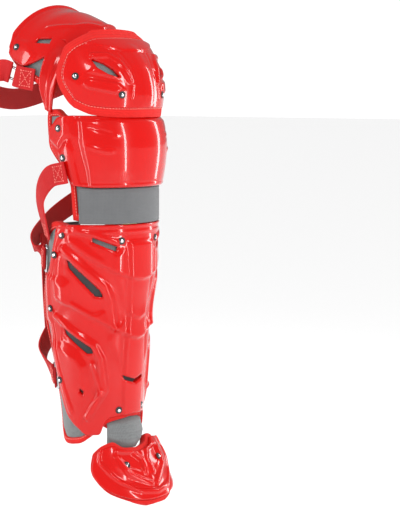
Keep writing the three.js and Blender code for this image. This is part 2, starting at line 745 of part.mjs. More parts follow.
const toeEdge = 5; // the toe shell stops this far inside its binding's outline
const toeShell = sheet(toeWrap, toeOutline, { inner: -wall, outer: 0, inset: toeEdge, ...toeGrid });
add(legFrame, 'toe_shell', toeShell, 'shell');
add(legFrame, 'toe_pad', sheet(toeWrap, toeOutline, {
  inner: padInner, outer: padOuter, inset: bindingWidth + edgeGap, ...toeGrid,
}), 'mesh');
add(legFrame, 'toe_binding', binding(toeWrap, toeOutline, {
  inner: padInner, outer: padOuter, ...toeGrid,
}), 'binding');
const toeRivet = { turn: 0.3, up: 0.62 };
for (const { side, word } of sides) {
  addRivet(legFrame, `toe_rivet_${word}`, toeShell, toeWrap, side * toeRivet.turn, toeRivet.up);
}

// Straps, loops, hooks and slides

/** A place on a wrap with its outward direction and a heading, in degrees from straight up. */
function spot(wrap, turn, up, lift, heading = 0) {
  const step = 0.01;
  const out = wrap.normal(turn, up);
  const rise = wrap.bare(turn, up + step).sub(wrap.bare(turn, up - step)).normalize();
  return { at: wrap.point(turn, up, lift), out, along: rise.applyAxisAngle(out, THREE.MathUtils.degToRad(heading)) };
}

/** A closed wire loop that lies flat on a place, its width across the heading. */
function wireLoop({ at, out, along }, { width, length }) {
  const corners = 8;
  const square = 0.6;
  const across = along.clone().cross(out);
  const bend = (value) => Math.sign(value) * Math.abs(value) ** square;
  return sweep(Array.from({ length: corners }, (_, k) => {
    const angle = (2 * Math.PI * (k + 0.5)) / corners;
    return {
      at: at.clone().addScaledVector(across, (bend(Math.cos(angle)) * width) / 2)
        .addScaledVector(along, (bend(Math.sin(angle)) * length) / 2),
      out,
      section: round(wire.radius, wire.sides),
    };
  }), true);
}

/** A flat slide with two openings for the webbing. */
function slidePlate() {
  const box = (width, low, high) => [[-width / 2, low], [width / 2, low], [width / 2, high], [-width / 2, high]]
    .map(([x, y]) => new THREE.Vector2(x, y));
  const { width, length, bar, thick } = slideSize;
  const shape = new THREE.Shape(box(width, -length / 2, length / 2));
  const opening = width - 2 * bar;
  shape.holes.push(new THREE.Path(box(opening, bar / 2, length / 2 - bar)));
  shape.holes.push(new THREE.Path(box(opening, bar - length / 2, -bar / 2)));
  return new THREE.ExtrudeGeometry(shape, { depth: thick, bevelEnabled: false }).translate(0, 0, -thick / 2);
}

/** A place on a strap's outer face, at a share of its route. */
function onStrap(route, share, lift) {
  const path = new THREE.CatmullRomCurve3(route.map((stop) => stop.at), false, 'centripetal');
  const i = Math.min(Math.floor(share * (route.length - 1)), route.length - 2);
  const t = share * (route.length - 1) - i;
  const step = 0.01;
  const along = path.getPoint(share + step).sub(path.getPoint(share - step)).normalize();
  const across = along.clone().cross(route[i].out.clone().lerp(route[i + 1].out, t)).normalize();
  const out = across.clone().cross(along);
  return { at: path.getPoint(share).addScaledVector(out, lift), out, along };
}

function addSlide(parent, name, route, share, finish) {
  const place = onStrap(route, share, webbing.thick / 2 + hardwareGap + slideSize.thick / 2);
  const mesh = add(parent, name, slidePlate(), finish);
  const across = place.along.clone().cross(place.out);
  mesh.quaternion.setFromRotationMatrix(new THREE.Matrix4().makeBasis(across, place.along, place.out));
  mesh.position.copy(place.at);
}

/** A stop of a strap behind the leg: x, y as shares of the radius round the wrap's axis, up of its height. */
const behind = (wrap, axisY, x, y, up, out, wide) => ({
  at: new THREE.Vector3(x * wrap.radius, axisY + y * wrap.radius, wrap.bottom + up * wrap.height),
  out: new THREE.Vector3(...out).normalize(),
  wide,
});

const onPad = padOuter + hardwareGap; // underside of what lies on a pad
const padLoopLift = onPad + wire.radius;
const padStrapLift = onPad + webbing.thick / 2;
const overLoop = 2 * wire.radius + 2 * hardwareGap;
const padOverLift = padStrapLift + overLoop;
const plateLoopLift = hardwareGap + wire.radius;
const plateOverLift = hardwareGap + overLoop + webbing.thick / 2;

// Thigh strap, from one side of the thigh piece round the back to the other
const atThigh = (x, y, up, out) => behind(thighWrap, -thigh.lift, x, y, up, out);
const thighDrop = thighPadOuter - padOuter;
const thighRoute = [
  spot(thighWrap, -0.98, 0.34, padStrapLift + thighDrop),
  spot(thighWrap, -1.02, 0.6, padOverLift + thighDrop),
  spot(thighWrap, -1.03, 0.86, padOverLift + thighDrop),
  atThigh(-1.09, 0.14, 0.97, [-0.9, 0.1, 0.3]),
  atThigh(-0.95, 0.46, 1.12, [-0.5, 0.3, 0.8]),
  atThigh(-0.33, 0.62, 1.16, [0, 0.34, 0.94]),
  atThigh(0.33, 0.5, 1.18, [0, 0.34, 0.94]),
  atThigh(0.86, 0.3, 1.15, [0.4, 0.3, 0.85]),
  atThigh(1.1, 0.12, 0.98, [0.9, 0.1, 0.3]),
  spot(thighWrap, 1.03, 0.86, padOverLift + thighDrop),
  spot(thighWrap, 1.02, 0.6, padOverLift + thighDrop),
];
add(thighFrame, 'thigh_strap', strap(thighRoute), 'webbing');
add(thighFrame, 'thigh_loop', wireLoop(spot(thighWrap, -1.02, 0.7, padLoopLift + thighDrop, 90), loopSize), 'chrome');
add(thighFrame, 'thigh_hook', wireLoop(spot(thighWrap, 1.02, 0.7, padLoopLift + thighDrop, 90), hookSize), 'chrome');

// Knee strap, from the wearer's left plate down round the back to the right wing
const atShin = (x, y, up, out, wide) => behind(shinWrap, 0, x, y, up, out, wide);
const kneeRoute = [
  spot(kneeWrap, 0.9, 0.395, plateOverLift),
  spot(kneeWrap, 1.3, 0.37, plateOverLift),
  atShin(0.87, 0.62, 1.16, [0.8, 0.6, 0]),
  atShin(0.45, 1.02, 1.07, [0.4, 0.9, 0.1]),
  atShin(-0.08, 1.12, 0.98, [0, 1, 0.1]),
  atShin(-0.6, 0.98, 0.88, [-0.5, 0.85, 0]),
  spot(shinWrap, -1.74, 0.845, padOverLift),
  spot(shinWrap, -1.57, 0.835, padOverLift),
  spot(shinWrap, -1.4, 0.83, padOverLift),
];
add(legFrame, 'knee_strap', strap(kneeRoute), 'webbing');
add(legFrame, 'knee_hook', wireLoop(spot(kneeWrap, 0.9, 0.395, plateLoopLift, 90), hookSize), 'darkMetal');
addSlide(legFrame, 'knee_slide', kneeRoute, 0.26, 'black');
add(legFrame, 'wing_loop_high', wireLoop(spot(shinWrap, -1.5, 0.83, padLoopLift, 90), loopSize), 'chrome');

// Side strap, from the wearer's right plate down to the right wing
const sideRoute = [
  spot(kneeWrap, -0.93, 0.42, plateOverLift),
  spot(kneeWrap, -1.25, 0.37, plateOverLift),
  atShin(-0.98, 0.4, 1.12, [-0.9, 0.4, 0]),
  spot(shinWrap, -1.4, 0.93, padStrapLift),
];
add(legFrame, 'side_strap', strap(sideRoute), 'webbing');

// Calf harness: a cloth panel behind the calf with three arms to the wings
const harness = { back: 1.04, wide: 50 };
const panelRoute = [
  atShin(0, harness.back, 0.93, [0, 1, 0], harness.wide),
  atShin(0, harness.back, 0.76, [0, 1, 0], 0.95 * harness.wide),
  atShin(0, harness.back, 0.6, [0, 1, 0], 0.88 * harness.wide),
  atShin(0, 0.98 * harness.back, 0.43, [0, 1, -0.1], 0.8 * harness.wide),
];
const upperArmRoute = [
  atShin(0.2, harness.back, 0.9, [0, 1, 0]),
  atShin(0.5, 1.0, 0.9, [0.3, 0.95, 0]),
  spot(shinWrap, 1.74, 0.9, padOverLift),
  spot(shinWrap, 1.56, 0.9, padOverLift),
  spot(shinWrap, 1.38, 0.9, padOverLift),
];
const lowerArmRoute = (side) => [
  atShin(side * 0.08, 0.98 * harness.back, 0.46, [0, 1, -0.1]),
  atShin(side * 0.42, 0.96, 0.355, [side * 0.35, 0.9, -0.1]),
  spot(shinWrap, side * 1.58, 0.275, padOverLift),
  spot(shinWrap, side * 1.46, 0.265, padOverLift),
  spot(shinWrap, side * 1.34, 0.255, padOverLift),
];
add(legFrame, 'calf_harness', join([
  strap(panelRoute), strap(upperArmRoute), strap(lowerArmRoute(1)), strap(lowerArmRoute(-1)),
]), 'webbing');
add(legFrame, 'wing_hook_high', wireLoop(spot(shinWrap, 1.46, 0.9, padLoopLift, 90), hookSize), 'darkMetal');
add(legFrame, 'wing_hook_low', wireLoop(spot(shinWrap, 1.44, 0.26, padLoopLift, 90), hookSize), 'darkMetal');
add(legFrame, 'wing_loop_low', wireLoop(spot(shinWrap, -1.44, 0.26, padLoopLift, 90), loopSize), 'chrome');
addSlide(legFrame, 'harness_slide_high', upperArmRoute, 0.17, 'black');
addSlide(legFrame, 'harness_slide_low', lowerArmRoute(1), 0.18, 'whitePlastic');

const label = { width: 25, height: 36, thick: 0.8, up: 0.65 };
const labelPlate = add(legFrame, 'label', new THREE.BoxGeometry(label.width, label.thick, label.height), 'label');
labelPlate.position.set(
  0,
  harness.back * shin.radius + webbing.thick / 2 + hardwareGap + label.thick / 2,
  shin.bottom + label.up * shin.height,
);

// The seat on the shin is the origin of the whole guard.
const seatUp = -shin.bottom / shin.height;
legFrame.position.y = -shinWrap.point(0, seatUp, innerPadOuter - innerPadThick).y;

export default guard;
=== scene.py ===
"""Looks of a catcher leg guard: gloss shells over padded cloth, with tape, webbing and hardware.

Sizes in the classes are millimetres and shares of a wrap. Meshes are made in metres, in the frame's place.
"""

import logging
import math
from dataclasses import dataclass, field
from enum import Enum
from typing import Callable, Iterable, Optional, Sequence

import bpy
import numpy as np
from mathutils import Matrix, Vector

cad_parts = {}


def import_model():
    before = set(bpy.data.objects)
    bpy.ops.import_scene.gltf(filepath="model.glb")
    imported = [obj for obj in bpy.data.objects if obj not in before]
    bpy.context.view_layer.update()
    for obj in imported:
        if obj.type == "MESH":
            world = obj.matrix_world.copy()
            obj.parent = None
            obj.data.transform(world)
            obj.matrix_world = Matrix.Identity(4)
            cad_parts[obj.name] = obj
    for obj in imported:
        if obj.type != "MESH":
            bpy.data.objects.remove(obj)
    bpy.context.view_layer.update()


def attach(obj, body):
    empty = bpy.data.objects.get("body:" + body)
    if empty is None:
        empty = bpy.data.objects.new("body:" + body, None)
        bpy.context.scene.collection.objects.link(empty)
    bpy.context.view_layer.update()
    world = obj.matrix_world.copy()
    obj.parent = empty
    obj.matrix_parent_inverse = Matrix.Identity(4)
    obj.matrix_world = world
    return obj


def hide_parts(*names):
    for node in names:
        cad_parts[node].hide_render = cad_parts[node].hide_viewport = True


LOG = logging.getLogger("leg_guard")
MM = 0.001

Place = tuple[float, float]
Array = np.ndarray
Piece = bpy.types.Object
Socket = bpy.types.NodeSocket
Tree = bpy.types.NodeTree


# Smooth tables


class Column:
    """Smooth value of one column of a table, held flat past both ends."""

    def __init__(self, keys: Sequence[float], values: Sequence[float]) -> None:
        """Takes the key column and the value column.

        Args:
            keys: rising keys.
            values: one value for each key.
        """
        self.keys = np.asarray(keys, float)
        self.values = np.asarray(values, float)
        steps = np.diff(self.values) / np.diff(self.keys)
        slopes = np.concatenate([steps[:1], np.zeros(len(keys) - 2), steps[-1:]])
        for i in range(1, len(keys) - 1):
            product = steps[i - 1] * steps[i]
            slopes[i] = 0 if product <= 0 else 2 * product / (steps[i - 1] + steps[i])
        self.slopes = slopes

    def __call__(self, key: Array) -> Array:
        """Value at any key.

        Args:
            key: one or many keys.

        Returns:
            The smooth value at each.
        """
        x = np.clip(np.asarray(key, float), self.keys[0], self.keys[-1])
        i = np.clip(np.searchsorted(self.keys, x) - 1, 0, len(self.keys) - 2)
        span = self.keys[i + 1] - self.keys[i]
        t = (x - self.keys[i]) / span
        low, high = self.values[i], self.values[i + 1]
        bend = self.slopes[i] * t * (1 - t) ** 2 + self.slopes[i + 1] * t * t * (t - 1)
        return low * (1 + 2 * t) * (1 - t) ** 2 + high * t * t * (3 - 2 * t) + span * bend


def smooth(x: Array, low: float, high: float) -> Array:
    """Zero under low, one over high and smooth between."""
    t = np.clip((x - low) / (high - low), 0, 1)
    return t * t * (3 - 2 * t)


def unit(vectors: Array) -> Array:
    """The same directions at length one."""
    return vectors / np.maximum(np.linalg.norm(vectors, axis=-1, keepdims=True), 1e-12)


# Wraps and outlines


class Wrap:
    """A surface round a leg: turn is 0 in front and 1 at the side, up is a share of the height."""

    def __init__(self, bottom: float, height: float, radius: float, run: float,
                 sections: Sequence[tuple], place: Matrix) -> None:
        """Takes the driving sizes and the sections.

        Args:
            bottom: lowest level.
            height: height of the wrap.
            radius: round front's radius.
            run: how far one turn past the side runs back.
            sections: at each share of the height, the shares of the radius that it is wide, deep and set
                back, and how far its sides are pulled in.
            place: from the wrap's own frame to the guard's, in millimetres.
        """
        self.bottom, self.height, self.radius, self.run = bottom, height, radius, run
        ups, *columns = zip(*((*level, 0.0)[:5] for level in sections))
        self.wide, self.deep, self.back, self.pull = (Column(ups, column) for column in columns)
        self.turned = np.array(place.to_3x3())
        self.moved = np.array(place.translation)

    def bare(self, turn: Array, up: Array) -> Array:
        """Points of the wrap in its own frame, in millimetres.

        Args:
            turn: place round the leg.
            up: place up the wrap.

        Returns:
            The points.
        """
        turn, up = np.broadcast_arrays(np.asarray(turn, float), np.asarray(up, float))
        round_ = np.minimum(np.abs(turn), 1) * (np.pi / 2)
        past = np.maximum(np.abs(turn) - 1, 0)
        side = np.where(turn < 0, -1.0, 1.0)
        x = side * (self.wide(up) * np.sin(round_) - self.pull(up) * past ** 2) * self.radius
        y = (self.back(up) - self.deep(up) * np.cos(round_)) * self.radius + self.run * past
        return np.stack([x, y, self.bottom + self.height * up], axis=-1)

    def normal(self, turn: Array, up: Array) -> Array:
        """Outward directions in the wrap's own frame.

        Args:
            turn: place round the leg.
            up: place up the wrap.

        Returns:
            The directions.
        """
        step = 0.004
        round_ = self.bare(np.add(turn, step), up) - self.bare(np.subtract(turn, step), up)
        rise = self.bare(turn, np.add(up, step)) - self.bare(turn, np.subtract(up, step))
        return unit(np.cross(round_, rise))

    def point(self, turn: Array, up: Array, lift: Array = 0.0) -> Array:
        """Points at a lift over the wrap, in the guard's frame, in millimetres.

        Args:
            turn: place round the leg.
            up: place up the wrap.
            lift: how far out.

        Returns:
            The points.
        """
        out = self.normal(turn, up)
        own = self.bare(turn, up) + out * np.asarray(lift, float)[..., None]
        return own @ self.turned.T + self.moved

    def facing(self, turn: Array, up: Array) -> Array:
        """Outward directions in the guard's frame."""
        return self.normal(turn, up) @ self.turned.T

    def heading(self, turn: float, up: float, degrees: float) -> Array:
        """A direction along the wrap, turned from straight up.

        Args:
            turn: place round the leg.
            up: place up the wrap.
            degrees: the turn.

        Returns:
            The direction.
        """
        step = 0.01
        rise = unit(self.bare(turn, up + step) - self.bare(turn, up - step))
        out = self.normal(turn, up)
        angle = math.radians(degrees)
        own = rise * math.cos(angle) + np.cross(out, rise) * math.sin(angle)
        return own @ self.turned.T

    def girth(self, up: Array, reach: Array) -> Array:
        """Length round the wrap from the middle to a turn.

        Args:
            up: place up the wrap.
            reach: the turn that it ends at.

        Returns:
            The lengths.
        """
        parts = np.linspace(0, 1, 13)[:, None]
        up, reach = np.atleast_1d(up).ravel(), np.atleast_1d(reach).ravel()
        line = self.bare(parts * reach[None], np.broadcast_to(up, (13, up.size)))
        return np.linalg.norm(np.diff(line, axis=0), axis=-1).sum(axis=0)

    def chart(self, turn: Array, up: Array) -> tuple[Array, Array]:
        """Flat places in millimetres, the same on both sides."""
        return np.abs(turn) * self.radius * (np.pi / 2), np.asarray(up) * self.height


class Outline:
    """The outline of a piece on a wrap, the same on both sides."""

    def __init__(self, wrap: Wrap, edges: Sequence[Place], hems: Sequence[tuple[float, float, float]],
                 round_: float = 0.0) -> None:
        """Takes the wrap and two tables.

        Args:
            wrap: what it lies on.
            edges: its turn at shares of the height.
            hems: its lowest and highest share of the height at shares of its half width.
            round_: how far its corners are rounded off.
        """
        self.wrap, self.round = wrap, round_
        self.edge = Column(*zip(*edges))
        outs, lows, highs = zip(*hems)
        self.low, self.high = Column(outs, lows), Column(outs, highs)

    def at(self, across: Array, along: Array, inset: float = 0.0) -> tuple[Array, Array]:
        """Turn and up at shares across (-1 to 1) and along (0 to 1), inset by millimetres.

        Args:
            across: share across.
            along: share along.
            inset: how far in.

        Returns:
            Turns and ups.
        """
        across, along = np.broadcast_arrays(np.asarray(across, float), np.asarray(along, float))
        rise = 2 * along - 1
        across, rise = (across * np.sqrt(1 - self.round * rise ** 2 / 2),
                        rise * np.sqrt(1 - self.round * across ** 2 / 2))
        along = (rise + 1) / 2
        lowest = self.low(np.abs(across))
        span = self.high(np.abs(across)) - lowest
        margin = inset / (span * self.wrap.height)
        up = lowest + span * (margin + (1 - 2 * margin) * along)
        reach = self.edge(up)
        trim = inset / self.wrap.girth(up, reach).reshape(up.shape)
        return across * (1 - trim) * reach, up

    def inside(self, turn: Array, up: Array) -> Array:
        """Millimetres from places to the outline, negative outside it.

        Args:
            turn: place round the leg.
            up: place up the wrap.

        Returns:
            The distances.
        """
        around = rim_stops(48, 32)
        turns, ups = self.at(around[:, 0], around[:, 1])
        scale = self.wrap.radius * np.pi / 2
        rim = np.stack([turns * scale, ups * self.wrap.height], axis=-1)
        return -polygon_distance(turn * scale, up * self.wrap.height, rim)

    def rim_distance(self, across: Array, along: Array) -> Array:
        """Millimetres from each place to the nearest edge of the outline.

        Args:
            across: share across.
            along: share along.

        Returns:
            The distances.
        """
        up = self.at(across, along)[1]
        half = self.wrap.girth(up, self.edge(up)).reshape(up.shape)
        tall = (self.high(np.abs(across)) - self.low(np.abs(across))) * self.wrap.height
        return np.minimum.reduce([(1 - np.abs(across)) * half, along * tall, (1 - along) * tall])


# Relief on a shell


def path_distance(u: Array, v: Array, path: Array) -> Array:
    """Distance from flat places to a line of points.

    Args:
        u: places across, in millimetres.
        v: places up, in millimetres.
        path: the points.

    Returns:
        The distances.
    """
    best = np.full(np.shape(u), 1e9)
    for start, end in zip(path[:-1], path[1:]):
        run = end - start
        share = ((u - start[0]) * run[0] + (v - start[1]) * run[1]) / max(run @ run, 1e-9)
        share = np.clip(share, 0, 1)
        gap = np.hypot(u - start[0] - share * run[0], v - start[1] - share * run[1])
        best = np.minimum(best, gap)
    return best


def polygon_distance(u: Array, v: Array, corners: Array) -> Array:
    """Distance to a polygon's edge, negative inside it.

    Args:
        u: places across, in millimetres.
        v: places up, in millimetres.
        corners: the polygon.

    Returns:
        The distances.
    """
    closed = np.vstack([corners, corners[:1]])
    inside = np.zeros(np.shape(u), bool)
    for start, end in zip(closed[:-1], closed[1:]):
        crosses = (start[1] > v) != (end[1] > v)
        run = end[1] - start[1]
        at = start[0] + (v - start[1]) * (end[0] - start[0]) / (run if abs(run) > 1e-9 else 1e-9)
        inside ^= crosses & (u < at)
    return np.where(inside, -1, 1) * path_distance(u, v, closed)


def on_chart(wrap: Wrap, places: Sequence[Place]) -> Array:
    """Places given as turn and up, on the flat chart, keeping the sign of turn."""
    return np.array([(turn * wrap.radius * np.pi / 2, up * wrap.height) for turn, up in places])


@dataclass(frozen=True)
class Ridge:
    """A raised or sunk line, with a round or flat top."""

    places: tuple[Place, ...]
    width: float
    height: float
    soft: float = 1.6

    def lift(self, wrap: Wrap, u: Array, v: Array) -> Array:
        """Height that the feature adds."""
        gap = path_distance(u, v, on_chart(wrap, self.places))
        return self.height * np.clip(1 - (gap - self.width / 2) / self.soft, 0, 1)


@dataclass(frozen=True)
class Plateau:
    """A raised or sunk field inside a polygon."""

    places: tuple[Place, ...]
    height: float
    soft: float = 2.0

    def lift(self, wrap: Wrap, u: Array, v: Array) -> Array:
        """Height that the feature adds."""
        gap = polygon_distance(u, v, on_chart(wrap, self.places))
        return self.height * np.clip(-gap / self.soft, 0, 1)


@dataclass(frozen=True)
class Tier:
    """An overlapping edge: the surface swells down to a line and drops under it."""

    places: tuple[Place, ...]
    height: float
    fall: float = 14.0
    soft: float = 0.9

    def lift(self, wrap: Wrap, u: Array, v: Array) -> Array:
        """Height that the feature adds.

        Args:
            wrap: what it lies on.
            u: places across, in millimetres.
            v: places up, in millimetres.

        Returns:
            The heights.
        """
        line = on_chart(wrap, self.places)
        order = np.argsort(line[:, 0])
        above = v - np.interp(u, line[order, 0], line[order, 1])
        end = 1 - smooth(u, line[:, 0].max() - 4, line[:, 0].max() + 6)
        swell = np.exp(-np.maximum(above, 0) / self.fall)
        return self.height * swell * smooth(above, -self.soft, self.soft) * end


Feature = Ridge | Plateau | Tier


@dataclass(frozen=True)
class Slot:
    """A hole through a shell, with a rounded rim."""

    places: tuple[Place, ...]
    corner: float = 0.8

    def gap(self, wrap: Wrap, u: Array, v: Array) -> Array:
        """Distance from the rim of the hole, negative inside."""
        return polygon_distance(u, v, on_chart(wrap, self.places)) - self.corner


# Meshes


def stops(count: int, fine: float) -> Array:
    """Even shares from 0 to 1, with closer ones at both ends for a rounded edge.

    Args:
        count: how many.
        fine: the share that the close ones take.

    Returns:
        The shares.
    """
    close = fine * np.array([0.0, 0.06, 0.2, 0.45, 1.0])
    inner = np.linspace(fine, 1 - fine, count)[1:-1]
    return np.concatenate([close, inner, 1 - close[::-1]])


def rounded(gap: Array, radius: float) -> Array:
    """How far a surface falls at an edge rounded to a radius."""
    near = 1 - np.clip(gap / radius, 0, 1)
    return radius * (1 - np.sqrt(np.maximum(1 - near ** 2, 0)))


def apply_modifiers(piece: Piece) -> None:
    """Turns a piece with modifiers into a plain mesh.

    Args:
        piece: the object.
    """
    graph = bpy.context.evaluated_depsgraph_get()
    plain = bpy.data.meshes.new_from_object(piece.evaluated_get(graph))
    piece.modifiers.clear()
    piece.data = plain


def shade_smooth(mesh: bpy.types.Mesh) -> None:
    """Shades every face of a mesh smooth."""
    mesh.polygons.foreach_set("use_smooth", np.ones(len(mesh.polygons), bool))


def make_object(name: str, points: Array, faces: Iterable[Sequence[int]],
                materials: Sequence[bpy.types.Material], indices: Optional[Array] = None,
                sharp: float = 42.0) -> Piece:
    """A mesh object in metres from points in millimetres.

    Args:
        name: the object's name.
        points: places in the guard's frame.
        faces: corner numbers of each face.
        materials: the object's materials.
        indices: the material of each face.
        sharp: edges over this angle, in degrees, stay sharp.

    Returns:
        The object, linked to the scene.
    """
    mesh = bpy.data.meshes.new(name)
    mesh.from_pydata((np.asarray(points) * MM).tolist(), [], [list(map(int, face)) for face in faces])
    shade_smooth(mesh)
    for material in materials:
        mesh.materials.append(material)
    if indices is not None:
        mesh.polygons.foreach_set("material_index", np.asarray(indices, np.int32))
    mesh.set_sharp_from_angle(angle=math.radians(sharp))
    mesh.update()
    piece = bpy.data.objects.new(name, mesh)
    bpy.context.scene.collection.objects.link(piece)
    return piece


def thick(outer: Array, inner: Array, keep: Array) -> tuple[Array, Array, int]:
    """A closed wall from two grids of points, with the cells that aren't kept left open.

    Args:
        outer: rows by columns by 3.
        inner: the same places on the inner face.
        keep: which cells stay.

    Returns:
        Points, faces and the number of faces of the outer grid.
    """
    rows, columns = outer.shape[:2]
    number = np.arange(rows * columns).reshape(rows, columns)
    quads = np.stack([number[:-1, :-1], number[:-1, 1:], number[1:, 1:], number[1:, :-1]], axis=-1)[keep]
    layer = rows * columns
    starts, ends = quads.ravel(), np.roll(quads, -1, axis=1).ravel()
    open_edges = ~np.isin(starts * layer + ends, ends * layer + starts)
    a, b = starts[open_edges], ends[open_edges]
    walls = np.stack([b, a, a + layer, b + layer], axis=-1)
    faces = np.vstack([quads, quads[:, ::-1] + layer, walls])
    points = np.vstack([outer.reshape(-1, 3), inner.reshape(-1, 3)])
    used = np.unique(faces)
    renumber = np.zeros(len(points), int)
    renumber[used] = np.arange(len(used))
    return points[used], renumber[faces], len(quads)


def tube(loops: Array, closed: bool) -> tuple[Array, list[list[int]]]:
    """A solid through equal rings of points, closed on itself or capped at both ends.

    Args:
        loops: the rings.
        closed: whether it runs back into its start.

    Returns:
        Points and faces.
    """
    count, sides = loops.shape[:2]
    faces: list[list[int]] = []
    for k in range(count if closed else count - 1):
        here, after = k * sides, ((k + 1) % count) * sides
        for i in range(sides):
            j = (i + 1) % sides
            faces.append([here + i, here + j, after + j, after + i])
    if not closed:
        faces.append(list(range(sides))[::-1])
        faces.append([(count - 1) * sides + i for i in range(sides)])
    return loops.reshape(-1, 3), faces


def outward(points: Array, faces: Sequence) -> Sequence:
    """The same faces, turned so that they point out of the solid.

    Args:
        points: the points.
        faces: the faces, all wound one way.

    Returns:
        The faces.
    """
    total = 0.0
    for size in {len(face) for face in faces}:
        rings = points[np.array([face for face in faces if len(face) == size])]
        for i in range(1, size - 1):
            total += np.einsum("ij,ij->", rings[:, 0], np.cross(rings[:, i], rings[:, i + 1]))
    return faces if total > 0 else [list(face)[::-1] for face in faces]


def superellipse(width: float, thick_: float, sides: int, power: float) -> Array:
    """A rounded flat section, centred.

    Args:
        width: how wide.
        thick_: how thick.
        sides: how many corners.
        power: how square.

    Returns:
        The corners.
    """
    angle = 2 * np.pi * (np.arange(sides) + 0.5) / sides
    bend = 2 / power
    return np.stack([
        np.sign(np.cos(angle)) * np.abs(np.cos(angle)) ** bend * width / 2,
        np.sign(np.sin(angle)) * np.abs(np.sin(angle)) ** bend * thick_ / 2,
    ], axis=-1)


def swept(path: Array, outs: Array, section: Callable[[int], Array], closed: bool) -> Array:
    """Rings of a section along a path, its second axis held outwards.

    Args:
        path: the points.
        outs: the outward directions.
        section: the flat section of each ring.
        closed: whether it runs back into its start.

    Returns:
        The rings.
    """
    if closed:
        along = np.roll(path, -1, axis=0) - np.roll(path, 1, axis=0)
    else:
        along = np.gradient(path, axis=0)
    along = unit(along)
    across = unit(np.cross(along, outs))
    up = np.cross(across, along)
    loops = []
    for k in range(len(path)):
        flat = section(k)
        loops.append(path[k] + flat[:, :1] * across[k] + flat[:, 1:] * up[k])
    return np.array(loops)


def ripple(share: Array, waves: Sequence[float], seed: int) -> Array:
    """A gentle uneven wave between about -1 and 1, the same each run.

    Args:
        share: share of the way.
        waves: how many waves.
        seed: of its phases.

    Returns:
        The wave at each share.
    """
    random = np.random.default_rng(seed)
    total = np.zeros(np.shape(share))
    for wave in waves:
        total = total + np.sin(2 * np.pi * (wave * share + random.random())) / len(waves)
    return total


# Finishes


def add_node(tree: Tree, kind: str, inputs: dict, **settings: str) -> bpy.types.Node:
    """A node with its options and inputs in place.

    Args:
        tree: where it goes.
        kind: the node's type.
        inputs: a value or another node's socket for each input.
        settings: the node's own options.

    Returns:
        The node.
    """
    node = tree.nodes.new(kind)
    for name, value in settings.items():
        setattr(node, name, value)
    for name, value in inputs.items():
        if isinstance(value, Socket):
            tree.links.new(value, node.inputs[name])
        else:
            node.inputs[name].default_value = value
    return node


def calc(tree: Tree, kind: str, *values: Socket | float) -> Socket:
    """A math node's result on values or sockets."""
    return add_node(tree, "ShaderNodeMath", dict(enumerate(values)), operation=kind).outputs[0]


@dataclass(frozen=True)
class Finish:
    """A procedural material: a varied colour, a bump and a gloss."""

    name: str
    colour: tuple[float, float, float]
    second: tuple[float, float, float]
    rough: float
    patch: float = 40.0
    metal: float = 0.0
    coat: float = 0.0
    sheen: float = 0.0
    gloss: float = 0.5
    grain: float = 900.0
    depth: float = 0.1
    reach: float = 0.0003

    def noise(self, tree: Tree, where: bpy.types.Node, scale: float) -> Socket:
        """A noise over the piece's own space."""
        inputs = {"Scale": scale, "Detail": 3.0, "Vector": where.outputs["Object"]}
        return add_node(tree, "ShaderNodeTexNoise", inputs).outputs["Fac"]

    def pattern(self, tree: Tree,
                where: bpy.types.Node) -> tuple[Socket, Socket]:
        """How the two colours mix and how high the surface is: faint patches and a grain."""
        return self.noise(tree, where, self.patch), self.noise(tree, where, self.grain)

    def tint(self, tree: Tree, factor: Socket) -> Socket:
        """The two colours, mixed by a factor."""
        inputs = {"A": (*self.colour, 1), "B": (*self.second, 1), "Factor": factor}
        return add_node(tree, "ShaderNodeMix", inputs, data_type="RGBA").outputs["Result"]

    def material(self) -> bpy.types.Material:
        """Makes the material.

        Returns:
            The material, with uniform numbers but for its colour and its bump.
        """
        material = bpy.data.materials.new(self.name)
        material.use_nodes = True
        tree = material.node_tree
        shader = tree.nodes["Principled BSDF"]
        for label, value in (("Base Color", (*self.colour, 1)), ("Roughness", self.rough),
                             ("Metallic", self.metal), ("Coat Weight", self.coat),
                             ("Coat Roughness", 0.04), ("Coat IOR", 1.4),
                             ("Specular IOR Level", self.gloss * (1 - self.coat)),
                             ("Sheen Weight", self.sheen), ("Sheen Roughness", 0.5)):
            shader.inputs[label].default_value = value
        factor, height = self.pattern(tree, tree.nodes.new("ShaderNodeTexCoord"))
        tree.links.new(self.tint(tree, factor), shader.inputs["Base Color"])
        bump = add_node(tree, "ShaderNodeBump",
                        {"Strength": self.depth, "Distance": self.reach, "Height": height})
        tree.links.new(bump.outputs["Normal"], shader.inputs["Normal"])
        return material


@dataclass(frozen=True)
class KnitFinish(Finish):
    """An open knit: small holes in rows, darker than the yarn."""

    hole: float = 1.3

    def pattern(self, tree: Tree,
                where: bpy.types.Node) -> tuple[Socket, Socket]:
        """Cells for the holes, with a soft mottle.

        Args:
            tree: the material's tree.
            where: its coordinates.

        Returns:
            The mix of the colours and the height.
        """
        inputs = {"Scale": 1 / (self.hole * MM), "Randomness": 0.35, "Vector": where.outputs["Object"]}
        cells = add_node(tree, "ShaderNodeTexVoronoi", inputs).outputs["Distance"]
        mottle = calc(tree, "ADD", self.noise(tree, where, self.patch), 0.35)
        return calc(tree, "MULTIPLY", calc(tree, "MULTIPLY", cells, 0.9), mottle), cells


